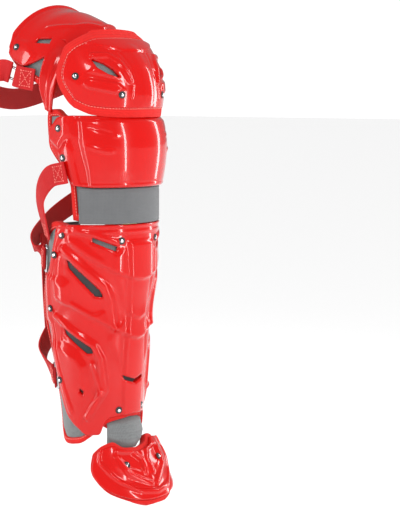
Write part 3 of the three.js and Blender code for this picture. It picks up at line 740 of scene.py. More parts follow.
@dataclass(frozen=True)
class WovenFinish(Finish):
    """A flat weave that follows the piece's own map, in metres along and across."""

    pitch: float = 1.1
    slant: float = 0.0

    def pattern(self, tree: Tree,
                where: bpy.types.Node) -> tuple[Socket, Socket]:
        """Two sets of threads, one over the other.

        Args:
            tree: the material's tree.
            where: its coordinates.

        Returns:
            The mix of the colours and the height.
        """
        split = add_node(tree, "ShaderNodeSeparateXYZ", {"Vector": where.outputs["UV"]})
        rate = 2 * math.pi / (self.pitch * MM)
        along, across = (calc(tree, "MULTIPLY", split.outputs[axis], rate) for axis in "XY")
        slanted = calc(tree, "ADD", along, calc(tree, "MULTIPLY", across, self.slant))
        threads = calc(tree, "MAXIMUM", calc(tree, "SINE", slanted), calc(tree, "SINE", across))
        mottle = calc(tree, "MULTIPLY", self.noise(tree, where, self.patch), 0.6)
        return calc(tree, "ADD", calc(tree, "MULTIPLY_ADD", threads, -0.22, 0.1), mottle), threads


@dataclass(frozen=True)
class LiningFinish(Finish):
    """A brushed lining with a pale edge where it meets the tape."""

    edge: tuple[float, float, float] = (0.86, 0.88, 0.42)
    edge_at: float = 10.3

    def tint(self, tree: Tree, factor: Socket) -> Socket:
        """The mixed colours, with the pale edge by the piece's own rim distance.

        Args:
            tree: the material's tree.
            factor: the mix of the two colours.

        Returns:
            The colour.
        """
        body = super().tint(tree, factor)
        rim = add_node(tree, "ShaderNodeAttribute", {}, attribute_name="rim")
        far = calc(tree, "GREATER_THAN", rim.outputs["Fac"], self.edge_at)
        inputs = {"A": (*self.edge, 1), "B": body, "Factor": far}
        return add_node(tree, "ShaderNodeMix", inputs, data_type="RGBA").outputs["Result"]


class Finishes(Enum):
    """Every finish of the guard, with the record's slot that it belongs to."""

    SHELL = (Finish("gloss_shell", (0.53, 0.003, 0.002), (0.45, 0.002, 0.001), 0.22, patch=14, coat=0.75,
                    grain=260, depth=0.03), "shell_red")
    KNIT = (KnitFinish("grey_knit", (0.19, 0.2, 0.2), (0.05, 0.053, 0.055), 0.9, patch=30, sheen=0.2,
                       depth=0.6, reach=0.0006), "mesh_grey")
    LINING = (LiningFinish("green_lining", (0.36, 0.70, 0.28), (0.3, 0.62, 0.23), 0.85, patch=24,
                           sheen=0.15, gloss=0.2, grain=1400, depth=0.3), "lining_green")
    TAPE = (WovenFinish("red_tape", (0.62, 0.012, 0.009), (0.46, 0.006, 0.005), 0.72, patch=60,
                        sheen=0.02, gloss=0.2, depth=0.5, pitch=1.0), "binding_red")
    BLACK = (KnitFinish("black_knit", (0.018, 0.018, 0.02), (0.004, 0.004, 0.005), 0.62, patch=50, sheen=0.3,
                        depth=0.5, reach=0.0004, hole=1.0), "pad_black")
    SATIN = (Finish("black_satin", (0.012, 0.012, 0.013), (0.005, 0.005, 0.006), 0.3, patch=60, coat=0.35,
                    grain=300, depth=0.25), "pad_black")
    FOAM = (Finish("yellow_foam", (0.85, 0.74, 0.22), (0.72, 0.58, 0.14), 0.8, patch=60, grain=1500,
                   depth=0.5), "foam_yellow")
    BAND = (WovenFinish("grey_band", (0.12, 0.123, 0.127), (0.08, 0.082, 0.085), 0.85, patch=70, sheen=0.2,
                        depth=0.5, pitch=1.6), "band_grey")
    WEBBING = (WovenFinish("red_webbing", (0.58, 0.014, 0.016), (0.42, 0.007, 0.009), 0.66, patch=50,
                           sheen=0.02, gloss=0.2, depth=0.8, reach=0.0004, pitch=1.3, slant=0.5),
               "webbing_red")
    THREAD = (Finish("red_thread", (0.86, 0.24, 0.2), (0.75, 0.13, 0.11), 0.6, grain=2500, depth=0.3),
              "binding_red")
    LABEL = (WovenFinish("white_label", (0.7, 0.69, 0.68), (0.55, 0.54, 0.54), 0.6, patch=80, depth=0.3,
                         pitch=0.7), "label_white")
    DARK = (Finish("dark_metal", (0.035, 0.035, 0.038), (0.02, 0.02, 0.022), 0.28, metal=0.85, grain=700,
                   depth=0.05), "dark_metal")
    BRIGHT = (Finish("bright_metal", (0.72, 0.73, 0.75), (0.6, 0.61, 0.63), 0.18, metal=1.0, grain=700,
                     depth=0.04), "bright_metal")
    SLIDE_BLACK = (Finish("black_slide", (0.014, 0.014, 0.015), (0.022, 0.022, 0.024), 0.38, grain=1100,
                          depth=0.12), "slide_black")
    SLIDE_WHITE = (Finish("white_slide", (0.82, 0.82, 0.81), (0.74, 0.74, 0.73), 0.35, grain=1100,
                          depth=0.1), "slide_white")
    HOLE = (Finish("lining_hole", (0.08, 0.30, 0.07), (0.05, 0.2, 0.05), 0.9, grain=900, depth=0.1),
            "lining_green")
    BADGE = (Finish("grey_badge", (0.24, 0.25, 0.26), (0.16, 0.165, 0.17), 0.5, patch=200, grain=1200,
                    depth=0.3), "mesh_grey")

    @property
    def slot(self) -> str:
        """The record's slot."""
        return self.value[1]

    def made(self) -> bpy.types.Material:
        """The material, made once."""
        finish = self.value[0]
        return bpy.data.materials.get(finish.name) or finish.material()


def dress(piece: Piece, finish: Finishes, *nodes: str) -> Piece:
    """Puts a finished piece on the guard.

    Args:
        piece: the object.
        finish: not used.
        nodes: the CAD nodes that it stands for.

    Returns:
        The same object.
    """
    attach(piece, "root")
    if nodes:
        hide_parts(*nodes)
    LOG.info("%s: %d faces", piece.name, len(piece.data.polygons))
    return piece


# Geometry Nodes


class Repeats:
    """Trees that repeat a small shape along a line or on chosen points."""

    def __init__(self) -> None:
        """Makes both trees."""
        self.along = self.tree("repeat_along_line", True)
        self.spots = self.tree("repeat_on_points", False)

    def tree(self, name: str, line: bool) -> Tree:
        """A tree with named inputs, ending in realized instances with a material.

        Args:
            name: the tree's name.
            line: whether it resamples a line first.

        Returns:
            The tree.
        """
        tree = bpy.data.node_groups.new(name, "GeometryNodeTree")
        for label, kind in (("Geometry", "Geometry"), ("Shape", "Object"), ("Finish", "Material"),
                            ("Spacing", "Float")):
            tree.interface.new_socket(label, in_out="INPUT", socket_type=f"NodeSocket{kind}")
        tree.interface.new_socket("Geometry", in_out="OUTPUT", socket_type="NodeSocketGeometry")
        source = tree.nodes.new("NodeGroupInput").outputs
        geometry = source["Geometry"]
        if line:
            curve = add_node(tree, "GeometryNodeMeshToCurve", {"Mesh": geometry}).outputs["Curve"]
            inputs = {"Curve": curve, "Length": source["Spacing"]}
            geometry = add_node(tree, "GeometryNodeResampleCurve", inputs, mode="LENGTH").outputs["Curve"]
        shape = add_node(tree, "GeometryNodeObjectInfo", {"Object": source["Shape"]}).outputs["Geometry"]
        inputs = {}
        for attribute, axis, pivot in (("facing", "Z", "AUTO"), ("heading", "X", "Z")):
            if line and axis == "X":
                inputs["Vector"] = tree.nodes.new("GeometryNodeInputTangent").outputs["Tangent"]
            else:
                read = add_node(tree, "GeometryNodeInputNamedAttribute", {"Name": attribute},
                                data_type="FLOAT_VECTOR")
                inputs["Vector"] = read.outputs["Attribute"]
            inputs["Rotation"] = add_node(tree, "FunctionNodeAlignRotationToVector", inputs, axis=axis,
                                          pivot_axis=pivot).outputs["Rotation"]
        place = add_node(tree, "GeometryNodeInstanceOnPoints",
                         {"Points": geometry, "Instance": shape, "Rotation": inputs["Rotation"]})
        real = add_node(tree, "GeometryNodeRealizeInstances", {"Geometry": place.outputs["Instances"]})
        paint = add_node(tree, "GeometryNodeSetMaterial",
                         {"Geometry": real.outputs["Geometry"], "Material": source["Finish"]})
        add_node(tree, "NodeGroupOutput", {"Geometry": paint.outputs["Geometry"]})
        return tree

    def run(self, name: str, tree: Tree, base: bpy.types.Mesh, shape: Piece,
            finish: Finishes, spacing: float = 1.0) -> Piece:
        """Applies a tree to a mesh of points or lines and keeps the result as a plain mesh.

        Args:
            name: the new object's name.
            tree: one of this class's trees.
            base: points or lines with facing and heading.
            shape: the small shape.
            finish: its finish.
            spacing: millimetres between repeats on a line.

        Returns:
            The object.
        """
        piece = bpy.data.objects.new(name, base)
        bpy.context.scene.collection.objects.link(piece)
        modifier = piece.modifiers.new("repeats", "NODES")
        modifier.node_group = tree
        values = {"Shape": shape, "Finish": finish.made(), "Spacing": spacing * MM}
        for item in tree.interface.items_tree:
            if item.in_out == "INPUT" and item.name in values:
                modifier[item.identifier] = values[item.name]
        apply_modifiers(piece)
        shade_smooth(piece.data)
        bpy.data.objects.remove(shape)
        return piece


def marked(name: str, points: Array, facing: Array, heading: Array,
           edges: Sequence[tuple[int, int]] = ()) -> bpy.types.Mesh:
    """A mesh of points or lines that carries its directions.

    Args:
        name: the mesh's name.
        points: the points.
        facing: where each point faces.
        heading: where each point heads.
        edges: the lines, if any.

    Returns:
        The mesh.
    """
    mesh = bpy.data.meshes.new(name)
    mesh.from_pydata((np.asarray(points) * MM).tolist(), list(edges), [])
    for label, values in (("facing", facing), ("heading", heading)):
        attribute = mesh.attributes.new(label, "FLOAT_VECTOR", "POINT")
        attribute.data.foreach_set("vector", np.asarray(values, np.float32).ravel())
    return mesh


def lathe(name: str, profile: Sequence[Place], sides: int) -> Piece:
    """A small turned shape about +Z from pairs of radius and height, closed on its axis.

    Args:
        name: the object's name.
        profile: pairs of radius and height.
        sides: faces round it.

    Returns:
        The object.
    """
    rings = [(r, z) for r, z in profile if r > 1e-6]
    points = [(r * math.cos(2 * math.pi * i / sides), r * math.sin(2 * math.pi * i / sides), z)
              for r, z in rings for i in range(sides)]
    faces = [[k + i, k + (i + 1) % sides, k + sides + (i + 1) % sides, k + sides + i]
             for k in range(0, (len(rings) - 1) * sides, sides) for i in range(sides)]
    points += [(0, 0, profile[0][1]), (0, 0, profile[-1][1])]
    low, high = len(points) - 2, len(points) - 1
    last = (len(rings) - 1) * sides
    for i in range(sides):
        faces.append([low, (i + 1) % sides, i])
        faces.append([high, last + i, last + (i + 1) % sides])
    array = np.array(points)
    return make_object(name, array, outward(array, faces), [])


def stitch_shape(length: float, width: float) -> Piece:
    """One stitch: a low bead along X that dips at both ends.

    Args:
        length: how long.
        width: how wide.

    Returns:
        The object.
    """
    spine = np.array([[x * length, 0, z]
                      for x, z in ((-0.5, -0.15), (-0.25, 0.12), (0.25, 0.12), (0.5, -0.15))])
    sizes = (0.45, 1.0, 1.0, 0.45)
    square = np.array([[1, 0], [0, 0.7], [-1, 0], [0, -0.7]]) * width / 2
    loops = np.array([[[p[0], s[0] * k, p[2] + s[1] * k] for s in square] for p, k in zip(spine, sizes)])
    points, faces = tube(loops, False)
    return make_object("stitch", points, outward(points, faces), [])


# Layers


@dataclass(frozen=True)
class Layers:
    """Widths, thicknesses and lifts that every sub-assembly shares: lifts are over the wrap's surface."""

    wall: float = 3.0
    seat: float = 0.95
    pad: float = 9.0
    inner_pad: float = 6.0
    tape: float = 8.0
    band: float = 3.0
    hardware: float = 0.6
    webbing: float = 25.0
    web_thick: float = 2.0
    wire: float = 1.5
    pad_out: float = -wall - seat
    pad_in: float = pad_out - pad
    inner_out: float = pad_in - seat
    on_pad: float = pad_out + hardware
    pad_loop: float = on_pad + wire
    over: float = 2 * wire + 2 * hardware
    pad_strap: float = on_pad + web_thick / 2
    pad_over: float = pad_strap + over
    plate_loop: float = hardware + wire
    plate_over: float = hardware + over + web_thick / 2


LAYERS = Layers()


def shell_piece(name: str, outline: Outline, features: Sequence[Feature], slots: Sequence[Slot],
                columns: int, rows: int, inset: float = 0.0,
                extra: Optional[Callable[[Array, Array], Array]] = None) -> Piece:
    """A moulded shell with its relief and its slots cut through.

    Args:
        name: the object's name.
        outline: where it lies.
        features: its ridges, fields and tiers.
        slots: its holes.
        columns: cells across.
        rows: cells along.
        inset: how far inside the outline it stops.
        extra: more lift from turn and up.

    Returns:
        The object.
    """
    wrap = outline.wrap
    across, along = np.meshgrid(2 * stops(columns, 0.012) - 1, stops(rows, 0.012))
    turn, up = outline.at(across, along, inset)
    side = np.where(turn < 0, -1.0, 1.0)
    cell = 1.25 * wrap.height / rows
    for _ in range(3):
        u, v = wrap.chart(turn, up)
        for slot in slots:
            gap = slot.gap(wrap, u, v)
            step = 0.2
            slope_u = (slot.gap(wrap, u + step, v) - slot.gap(wrap, u - step, v)) / (2 * step)
            slope_v = (slot.gap(wrap, u, v + step) - slot.gap(wrap, u, v - step)) / (2 * step)
            near = np.abs(gap) < cell * 0.62
            u = u - np.where(near, gap * slope_u, 0)
            v = v - np.where(near, gap * slope_v, 0)
        turn = side * np.maximum(u, 0) / (wrap.radius * np.pi / 2)
        up = v / wrap.height
    u, v = wrap.chart(turn, up)
    lift = np.zeros_like(u)
    for feature in features:
        lift = lift + feature.lift(wrap, u, v)
    if extra is not None:
        lift = lift + extra(turn, up)
    open_gap = np.full_like(u, 1e9)
    for slot in slots:
        open_gap = np.minimum(open_gap, slot.gap(wrap, u, v))
    for _ in range(2):
        lift[1:-1] = (lift[:-2] + 2 * lift[1:-1] + lift[2:]) / 4
        lift[:, 1:-1] = (lift[:, :-2] + 2 * lift[:, 1:-1] + lift[:, 2:]) / 4
    lift = lift - rounded(outline.rim_distance(across, along), 1.6)
    lift = lift - rounded(np.maximum(open_gap, 0), 1.3)
    corner_gap = np.stack([open_gap[:-1, :-1], open_gap[:-1, 1:], open_gap[1:, 1:], open_gap[1:, :-1]])
    keep = corner_gap.max(axis=0) > 0.1
    outer = wrap.point(turn, up, np.maximum(lift, -LAYERS.wall + 0.9))
    inner = wrap.point(turn, up, np.full_like(lift, -LAYERS.wall))
    points, faces, _ = thick(outer, inner, keep)
    return make_object(name, points, outward(points, faces), [Finishes.SHELL.made()])


def wall_piece(name: str, outer: Array, inner: Array, finish: Finishes) -> Piece:
    """A closed wall between two whole grids of points.

    Args:
        name: the object's name.
        outer: rows by columns by 3.
        inner: the same places on the inner face.
        finish: its finish.

    Returns:
        The object.
    """
    points, faces, _ = thick(outer, inner, np.ones((len(outer) - 1, outer.shape[1] - 1), bool))
    return make_object(name, points, outward(points, faces), [finish.made()])


def give_map(piece: Piece, places: Array) -> None:
    """Gives a piece a flat map in metres.

    Args:
        piece: the object.
        places: each point's place along and across, in millimetres.
    """
    numbers = np.zeros(len(piece.data.loops), np.int64)
    piece.data.loops.foreach_get("vertex_index", numbers)
    mapped = piece.data.uv_layers.new(name="map")
    mapped.data.foreach_set("uv", (places[numbers] * MM).astype(np.float32).ravel())


def running(path: Array) -> Array:
    """Length along a path up to each of its points."""
    return np.concatenate([[0], np.linalg.norm(np.diff(path, axis=0), axis=1).cumsum()])


def pad_piece(name: str, outline: Outline, columns: int, rows: int, tuck: float, drop: float = 0.0,
              seed: int = 1) -> Piece:
    """A padded cloth piece: knit outside, lining inside, pinched where the tape holds it.

    Args:
        name: the object's name.
        outline: where it lies.
        columns: cells across.
        rows: cells along.
        tuck: how far inside the outline its edge lies.
        drop: how much lower its outer face lies.
        seed: of its unevenness.

    Returns:
        The object, with a rim distance on its points.
    """
    wrap = outline.wrap
    across, along = np.meshgrid(2 * stops(columns, 0.03) - 1, stops(rows, 0.03))
    turn, up = outline.at(across, along, tuck)
    gap = outline.rim_distance(across, along) + tuck * 0.6
    pinch = 1.5 * np.exp(-(np.maximum(gap - LAYERS.tape, 0) / 4.0) ** 2)
    soft = 0.35 * ripple(turn, (2.3, 5.1), seed) * ripple(up, (3.0, 7.3), seed + 1)
    full = smooth(gap, LAYERS.tape, LAYERS.tape + 14)
    outer_lift = LAYERS.pad_out + drop - pinch - 0.2
    inner_lift = LAYERS.pad_in + pinch + 0.2 + full * (soft + 0.1)
    outer = wrap.point(turn, up, outer_lift)
    inner = wrap.point(turn, up, inner_lift)
    points, faces, front = thick(outer, inner, np.ones((len(along) - 1, across.shape[1] - 1), bool))
    faces = outward(points, faces)
    indices = np.zeros(len(faces), int)
    indices[front:2 * front] = 1
    piece = make_object(name, points, faces, [Finishes.KNIT.made(), Finishes.LINING.made()], indices)
    rim = piece.data.attributes.new("rim", "FLOAT", "POINT")
    rim.data.foreach_set("value", np.concatenate([gap.ravel(), gap.ravel()]).astype(np.float32))
    return piece


def patch_piece(name: str, wrap: Wrap, places: Sequence[Place], margin: float, low: float, high: float,
                finish: Finishes, both: bool = True) -> list[Piece]:
    """A thin patch under or over a polygon of a wrap.

    Args:
        name: the objects' name.
        wrap: what it lies on.
        places: the polygon.
        margin: how far it reaches past the polygon.
        low: lift of its back.
        high: lift of its face.
        finish: its finish.
        both: whether the other side has one too.

    Returns:
        The objects.
    """
    corners = on_chart(wrap, places)
    u, v = np.meshgrid(np.arange(corners[:, 0].min() - margin - 1, corners[:, 0].max() + margin + 1, 1.2),
                       np.arange(corners[:, 1].min() - margin - 1, corners[:, 1].max() + margin + 1, 1.2))
    gap = polygon_distance(u, v, corners)
    keep = gap[:-1, :-1] < margin
    pieces = []
    for side in (1, -1) if both else (1,):
        turn, up = side * u / (wrap.radius * np.pi / 2), v / wrap.height
        face = high - rounded(np.maximum(margin - gap, 0), min(0.8, high - low))
        points, faces, _ = thick(wrap.point(turn, up, np.maximum(face, low + 0.05)),
                                 wrap.point(turn, up, np.full_like(u, low)), keep)
        pieces.append(make_object(name, points, outward(points, faces), [finish.made()]))
    return pieces


def rim_stops(columns: int, rows: int) -> Array:
    """Places round an outline, as shares across and along.

    Args:
        columns: stops across.
        rows: stops along.

    Returns:
        Pairs of across and along.
    """
    around = [(2 * i / columns - 1, 0.0) for i in range(columns)]
    around += [(1.0, j / rows) for j in range(rows)]
    around += [(2 * i / columns - 1, 1.0) for i in range(columns, 0, -1)]
    around += [(-1.0, j / rows) for j in range(rows, 0, -1)]
    return np.array(around)


def tape_piece(name: str, outline: Outline, columns: int, rows: int, top: float, seed: int, repeats: Repeats,
               lip: float = 0.0) -> tuple[Piece, Piece]:
    """The tape folded round a pad's edge, with its two rows of stitches.

    Args:
        name: the object's name.
        outline: the pad's outline.
        columns: stops across.
        rows: stops along.
        top: lift of the tape's outer face.
        seed: of its ripples.
        repeats: the Geometry Nodes trees.
        lip: how far its outer edge reaches past the pad.

    Returns:
        The tape and its stitches.
    """
    wrap = outline.wrap
    around = rim_stops(columns, rows)
    share = np.arange(len(around)) / len(around)
    wave = ripple(share, (23, 41, 67), seed)
    low = LAYERS.pad_in - 0.3
    middle, half = (top + low) / 2, (top - low) / 2
    section = superellipse(1, 1, 20, 5.0) * 2
    loops = []
    for x, y in section:
        inset = LAYERS.tape / 2 * (1 - x) - lip * float(smooth(x, 0.3, 0.9) * smooth(y, 0.6, 0.9))
        turn, up = outline.at(around[:, 0], around[:, 1], 0.0)
        seam_turn, seam_up = outline.at(around[:, 0], around[:, 1], LAYERS.tape)
        part = inset / LAYERS.tape
        edge = np.abs(y) ** 3
        loops.append(wrap.point(turn + (seam_turn - turn) * part, up + (seam_up - up) * part,
                                middle + y * half + 0.22 * wave * edge))
    points, faces = tube(np.array(loops).transpose(1, 0, 2), True)
    piece = make_object(name, points, outward(points, faces), [Finishes.TAPE.made()])
    sides = len(section)
    give_map(piece, np.stack([np.repeat(running(wrap.point(turn, up)), sides),
                              np.tile(1.4 * np.arange(sides), len(around))], axis=-1))
    lines, facing, edges = [], [], []
    for lift, sign in ((top + 0.1, 1), (low - 0.1, -1)):
        start = len(lines) * len(around)
        line_turn, line_up = outline.at(around[:, 0], around[:, 1], LAYERS.tape * 0.78)
        lines.append(wrap.point(line_turn, line_up, lift))
        facing.append(wrap.facing(line_turn, line_up) * sign)
        edges += [(start + i, start + (i + 1) % len(around)) for i in range(len(around))]
    base = marked(f"{name}_seam", np.vstack(lines), np.vstack(facing), np.vstack(facing), edges)
    stitches = repeats.run(f"{name}_stitches", repeats.along, base, stitch_shape(2.5, 0.9),
                           Finishes.THREAD, 3.5)
    return piece, stitches


def lining_holes(name: str, outline: Outline, repeats: Repeats, pitch: Place = (9.5, 8.5),
                 skip: Optional[Callable[[float, float], bool]] = None) -> Piece:
    """The perforations of a lining, as thin slanted discs in staggered rows.

    Args:
        name: the object's name.
        outline: where the lining lies.
        repeats: the Geometry Nodes trees.
        pitch: from hole to hole and from row to row.
        skip: where none goes, from turn and up.

    Returns:
        The object.
    """
    wrap = outline.wrap
    reach = float(outline.edge.values.max())
    step = pitch[0] / (wrap.radius * np.pi / 2)
    rows = np.arange(-0.1, 1.1, pitch[1] / wrap.height)
    spots = np.array([(turn, up) for k, up in enumerate(rows)
                      for turn in np.arange(-reach - step * 0.5 * (k % 2), reach, step)])
    spots = spots[outline.inside(spots[:, 0], spots[:, 1]) > 13]
    places, facing, heading = [], [], []
    for turn, up in spots:
        if skip is None or not skip(turn, up):
            places.append(wrap.point(turn, up, LAYERS.pad_in + 0.05))
            facing.append(-wrap.facing(turn, up))
            heading.append(wrap.heading(turn, up, 32))
    base = marked(name, np.array(places), np.array(facing), np.array(heading))
    shape = lathe("hole", ((0, -0.25), (1.0, 0.1), (0.7, 0.35), (0, 0.3)), 10)
    shape.data.transform(Matrix.Diagonal((2.3, 1.15, 1.0, 1.0)))
    return repeats.run(name, repeats.spots, base, shape, Finishes.HOLE)


@dataclass(frozen=True)
class Cushion:
    """A padded piece, the tape round it and its perforations."""

    part: str
    pad_grid: tuple[int, int]
    tape_grid: tuple[int, int]
    seed: int
    slot: Finishes = Finishes.KNIT
    fill: float = 0.7
    rise: float = 0.25
    drop: float = 0.0
    lip: float = 0.0
    pierced: bool = True

    def build(self, outline: Outline, repeats: Repeats,
              skip: Optional[Callable[[float, float], bool]] = None) -> None:
        """Makes the pieces.

        Args:
            outline: where the pad lies.
            repeats: the Geometry Nodes trees.
            skip: where no perforation goes, from turn and up.
        """
        part = self.part
        pad = pad_piece(f"{part}_padding", outline, *self.pad_grid, 5.5, drop=self.drop, seed=self.seed)
        dress(pad, self.slot, f"{part}_pad")
        tape, stitches = tape_piece(f"{part}_tape", outline, *self.tape_grid, LAYERS.pad_out + self.rise,
                                    self.seed + 2, repeats, self.lip)
        dress(tape, Finishes.TAPE, f"{part}_binding")
        dress(stitches, Finishes.THREAD)
        if self.pierced:
            dress(lining_holes(f"{part}_lining_holes", outline, repeats, skip=skip), Finishes.HOLE)


# Straps, loops and slides


@dataclass(frozen=True)
class Stop:
    """A place on a strap's route, with its outward direction and width."""

    at: tuple[float, float, float]
    out: tuple[float, float, float]
    wide: float = LAYERS.webbing


class Route:
    """A smooth line through stops, spaced by the square root of their distance."""

    def __init__(self, places: Sequence[Stop]) -> None:
        """Takes the stops.

        Args:
            places: the stops.
        """
        self.points = np.array([p.at for p in places])
        self.outs = np.array([p.out for p in places])
        self.wides = np.array([p.wide for p in places])

    def at(self, share: float) -> Array:
        """The point at a share of the route.

        Args:
            share: share of the way.

        Returns:
            The point.
        """
        points = self.points
        last = len(points) - 1
        i = min(int(share * last), last - 1)
        weight = share * last - i
        before = points[i - 1] if i > 0 else 2 * points[0] - points[1]
        after = points[i + 2] if i + 2 <= last else 2 * points[-1] - points[-2]
        four = [before, points[i], points[i + 1], after]
        gaps = [max(np.linalg.norm(four[k + 1] - four[k]) ** 0.5, 1e-4) for k in range(3)]
        slopes = []
        for k in (1, 2):
            first = (four[k] - four[k - 1]) / gaps[k - 1]
            both = (four[k + 1] - four[k - 1]) / (gaps[k - 1] + gaps[k])
            slopes.append((first - both + (four[k + 1] - four[k]) / gaps[k]) * gaps[1])
        run = four[2] - four[1]
        cubic = -2 * run + slopes[0] + slopes[1]
        square = 3 * run - 2 * slopes[0] - slopes[1]
        return four[1] + weight * (slopes[0] + weight * (square + weight * cubic))

    def mixed(self, values: Array, share: float) -> Array:
        """A value of the stops at a share of the route.

        Args:
            values: one for each stop.
            share: share of the way.

        Returns:
            The value.
        """
        last = len(self.points) - 1
        i = min(int(share * last), last - 1)
        weight = share * last - i
        return values[i] * (1 - weight) + values[i + 1] * weight

    def sample(self, count: int) -> tuple[Array, Array, Array]:
        """Points, outward directions and widths at even shares.

        Args:
            count: how many.

        Returns:
            Points, directions and widths.
        """
        shares = np.linspace(0, 1, count)
        return (np.array([self.at(s) for s in shares]),
                unit(np.array([self.mixed(self.outs, s) for s in shares])),
                np.array([self.mixed(self.wides, s) for s in shares]))

    def frame(self, share: float) -> tuple[Array, Array, Array]:
        """Place, direction along and direction out at a share of the route.

        Args:
            share: share of the way.

        Returns:
            Place, along and out.
        """
        along = unit(self.at(share + 0.01) - self.at(share - 0.01))
        across = unit(np.cross(along, self.mixed(self.outs, share)))
        return self.at(share), along, np.cross(across, along)


def strap_piece(name: str, route: Route, seed: int, gaps: Sequence[Array] = (),
                step: float = 1.6) -> Piece:
    """A strap of webbing along a route, folded back at each loop so that the loop shows.

    Args:
        name: the object's name.
        route: its route.
        seed: of the faint sag between its edges.
        gaps: the middles of the loops that it folds round.
        step: length between its rings.

    Returns:
        The object.
    """
    count = int(running(route.points)[-1] / step)
    path, outs, wides = route.sample(count)
    run = running(path)
    cup = 0.35 * ripple(run / run[-1], (3.1, 7.7), seed)
    section = superellipse(1, LAYERS.web_thick, 14, 7.0)
    stops_ = sorted(float(run[np.linalg.norm(path - gap, axis=1).argmin()]) for gap in gaps)
    bounds = [0.0] + [edge for spot in stops_ for edge in (spot - 3.2, spot + 3.2)] + [run[-1]]
    pieces = []
    for start, end in zip(bounds[::2], bounds[1::2]):
        chosen = np.flatnonzero((run >= start - 1e-6) & (run <= end + 1e-6))
        near = np.minimum(np.where(start > 0, run[chosen] - start, 99),
                          np.where(end < run[-1], end - run[chosen], 99))
        fold = -1.5 * (1 - smooth(near, 0, 4))

        def ring(k: int) -> Array:
            """The section at one station."""
            flat = section * np.array([wides[chosen[k]], 1.0])
            sag = cup[chosen[k]] * (1 - (2 * section[:, 0]) ** 2) + fold[k]
            return flat + np.stack([np.zeros(len(flat)), sag], axis=-1)

        points, faces = tube(swept(path[chosen], outs[chosen], ring, False), False)
        piece = make_object(name, points, outward(points, faces), [Finishes.WEBBING.made()], sharp=60)
        give_map(piece, np.stack([np.repeat(running(path[chosen]), len(section)),
                                  np.tile(section[:, 0] * LAYERS.webbing, len(chosen))], axis=-1))
        pieces.append(piece)
    return joined(name, pieces) if len(pieces) > 1 else pieces[0]


def joined(name: str, pieces: Sequence[Piece]) -> Piece:
    """Several meshes as one object.

    Args:
        name: the object's name.
        pieces: the objects.

    Returns:
        The object.
    """
    with bpy.context.temp_override(active_object=pieces[0], selected_editable_objects=list(pieces)):
        bpy.ops.object.join()
    pieces[0].name = name
    return pieces[0]


def wire_loop(name: str, at: Array, out: Array, along: Array, width: float, length: float,
              radius: float, finish: Finishes) -> Piece:
    """A closed rounded wire loop that lies flat on a place.

    Args:
        name: the object's name.
        at: its middle.
        out: where it faces.
        along: its second direction.
        width: how wide.
        length: how long.
        radius: the wire's.
        finish: its finish.

    Returns:
        The object.
    """
    across = np.cross(along, out)
    count = 56
    angle = 2 * np.pi * (np.arange(count) + 0.5) / count
    flat = superellipse(width, length, count, 2 / 0.6)
    path = at + flat[:, :1] * across + flat[:, 1:] * along
    outs = np.repeat(out[None], len(angle), axis=0)
    ring = superellipse(2 * radius, 2 * radius, 12, 2.0)
    points, faces = tube(swept(path, outs, lambda k: ring, True), True)
    return make_object(name, points, outward(points, faces), [finish.made()])


def slide_piece(name: str, place: Array, along: Array, out: Array, size: Place, bar: float,
                deep: float, finish: Finishes) -> Piece:
    """A slide with two openings, its edges rounded.

    Args:
        name: the object's name.
        place: its middle.
        along: its second direction.
        out: where it faces.
        size: its width and length.
        bar: how wide its bars are.
        deep: how thick it is.
        finish: its finish.

    Returns:
        The object.
    """
    width, length = size
    across = np.cross(along, out)
    turn = Matrix((across, along, out)).transposed().to_4x4()
    parts = []
    bars = [((0, (length - bar) / 2), (width, bar)), ((0, 0), (width, bar)),
            ((0, (bar - length) / 2), (width, bar)), (((width - bar) / 2, 0), (bar, length)),
                                                       (((bar - width) / 2, 0), (bar, length))]
    for (x, y), (w, h) in bars:
        corners = np.array([[sx * w / 2 + x, sy * h / 2 + y, sz * deep / 2]
                            for sz in (-1, 1) for sx, sy in ((-1, -1), (1, -1), (1, 1), (-1, 1))])
        faces = [[0, 3, 2, 1], [4, 5, 6, 7], [0, 1, 5, 4], [1, 2, 6, 5], [2, 3, 7, 6], [3, 0, 4, 7]]
        parts.append(make_object("bar", corners, outward(corners, faces), [finish.made()]))
    piece = parts[0]
    for other in parts[1:]:
        union = piece.modifiers.new("union", "BOOLEAN")
        union.operation = "UNION"
        union.object = other
        union.solver = "EXACT"
        apply_modifiers(piece)
        bpy.data.objects.remove(other)
    bevel = piece.modifiers.new("bevel", "BEVEL")
    bevel.width = 0.8 * MM
    bevel.segments = 3
    bevel.limit_method = "ANGLE"
    apply_modifiers(piece)
    piece.name = name
    piece.data.transform(Matrix.Translation(Vector(place * MM)) @ turn)
    shade_smooth(piece.data)
    piece.data.set_sharp_from_angle(angle=math.radians(50))
    return piece


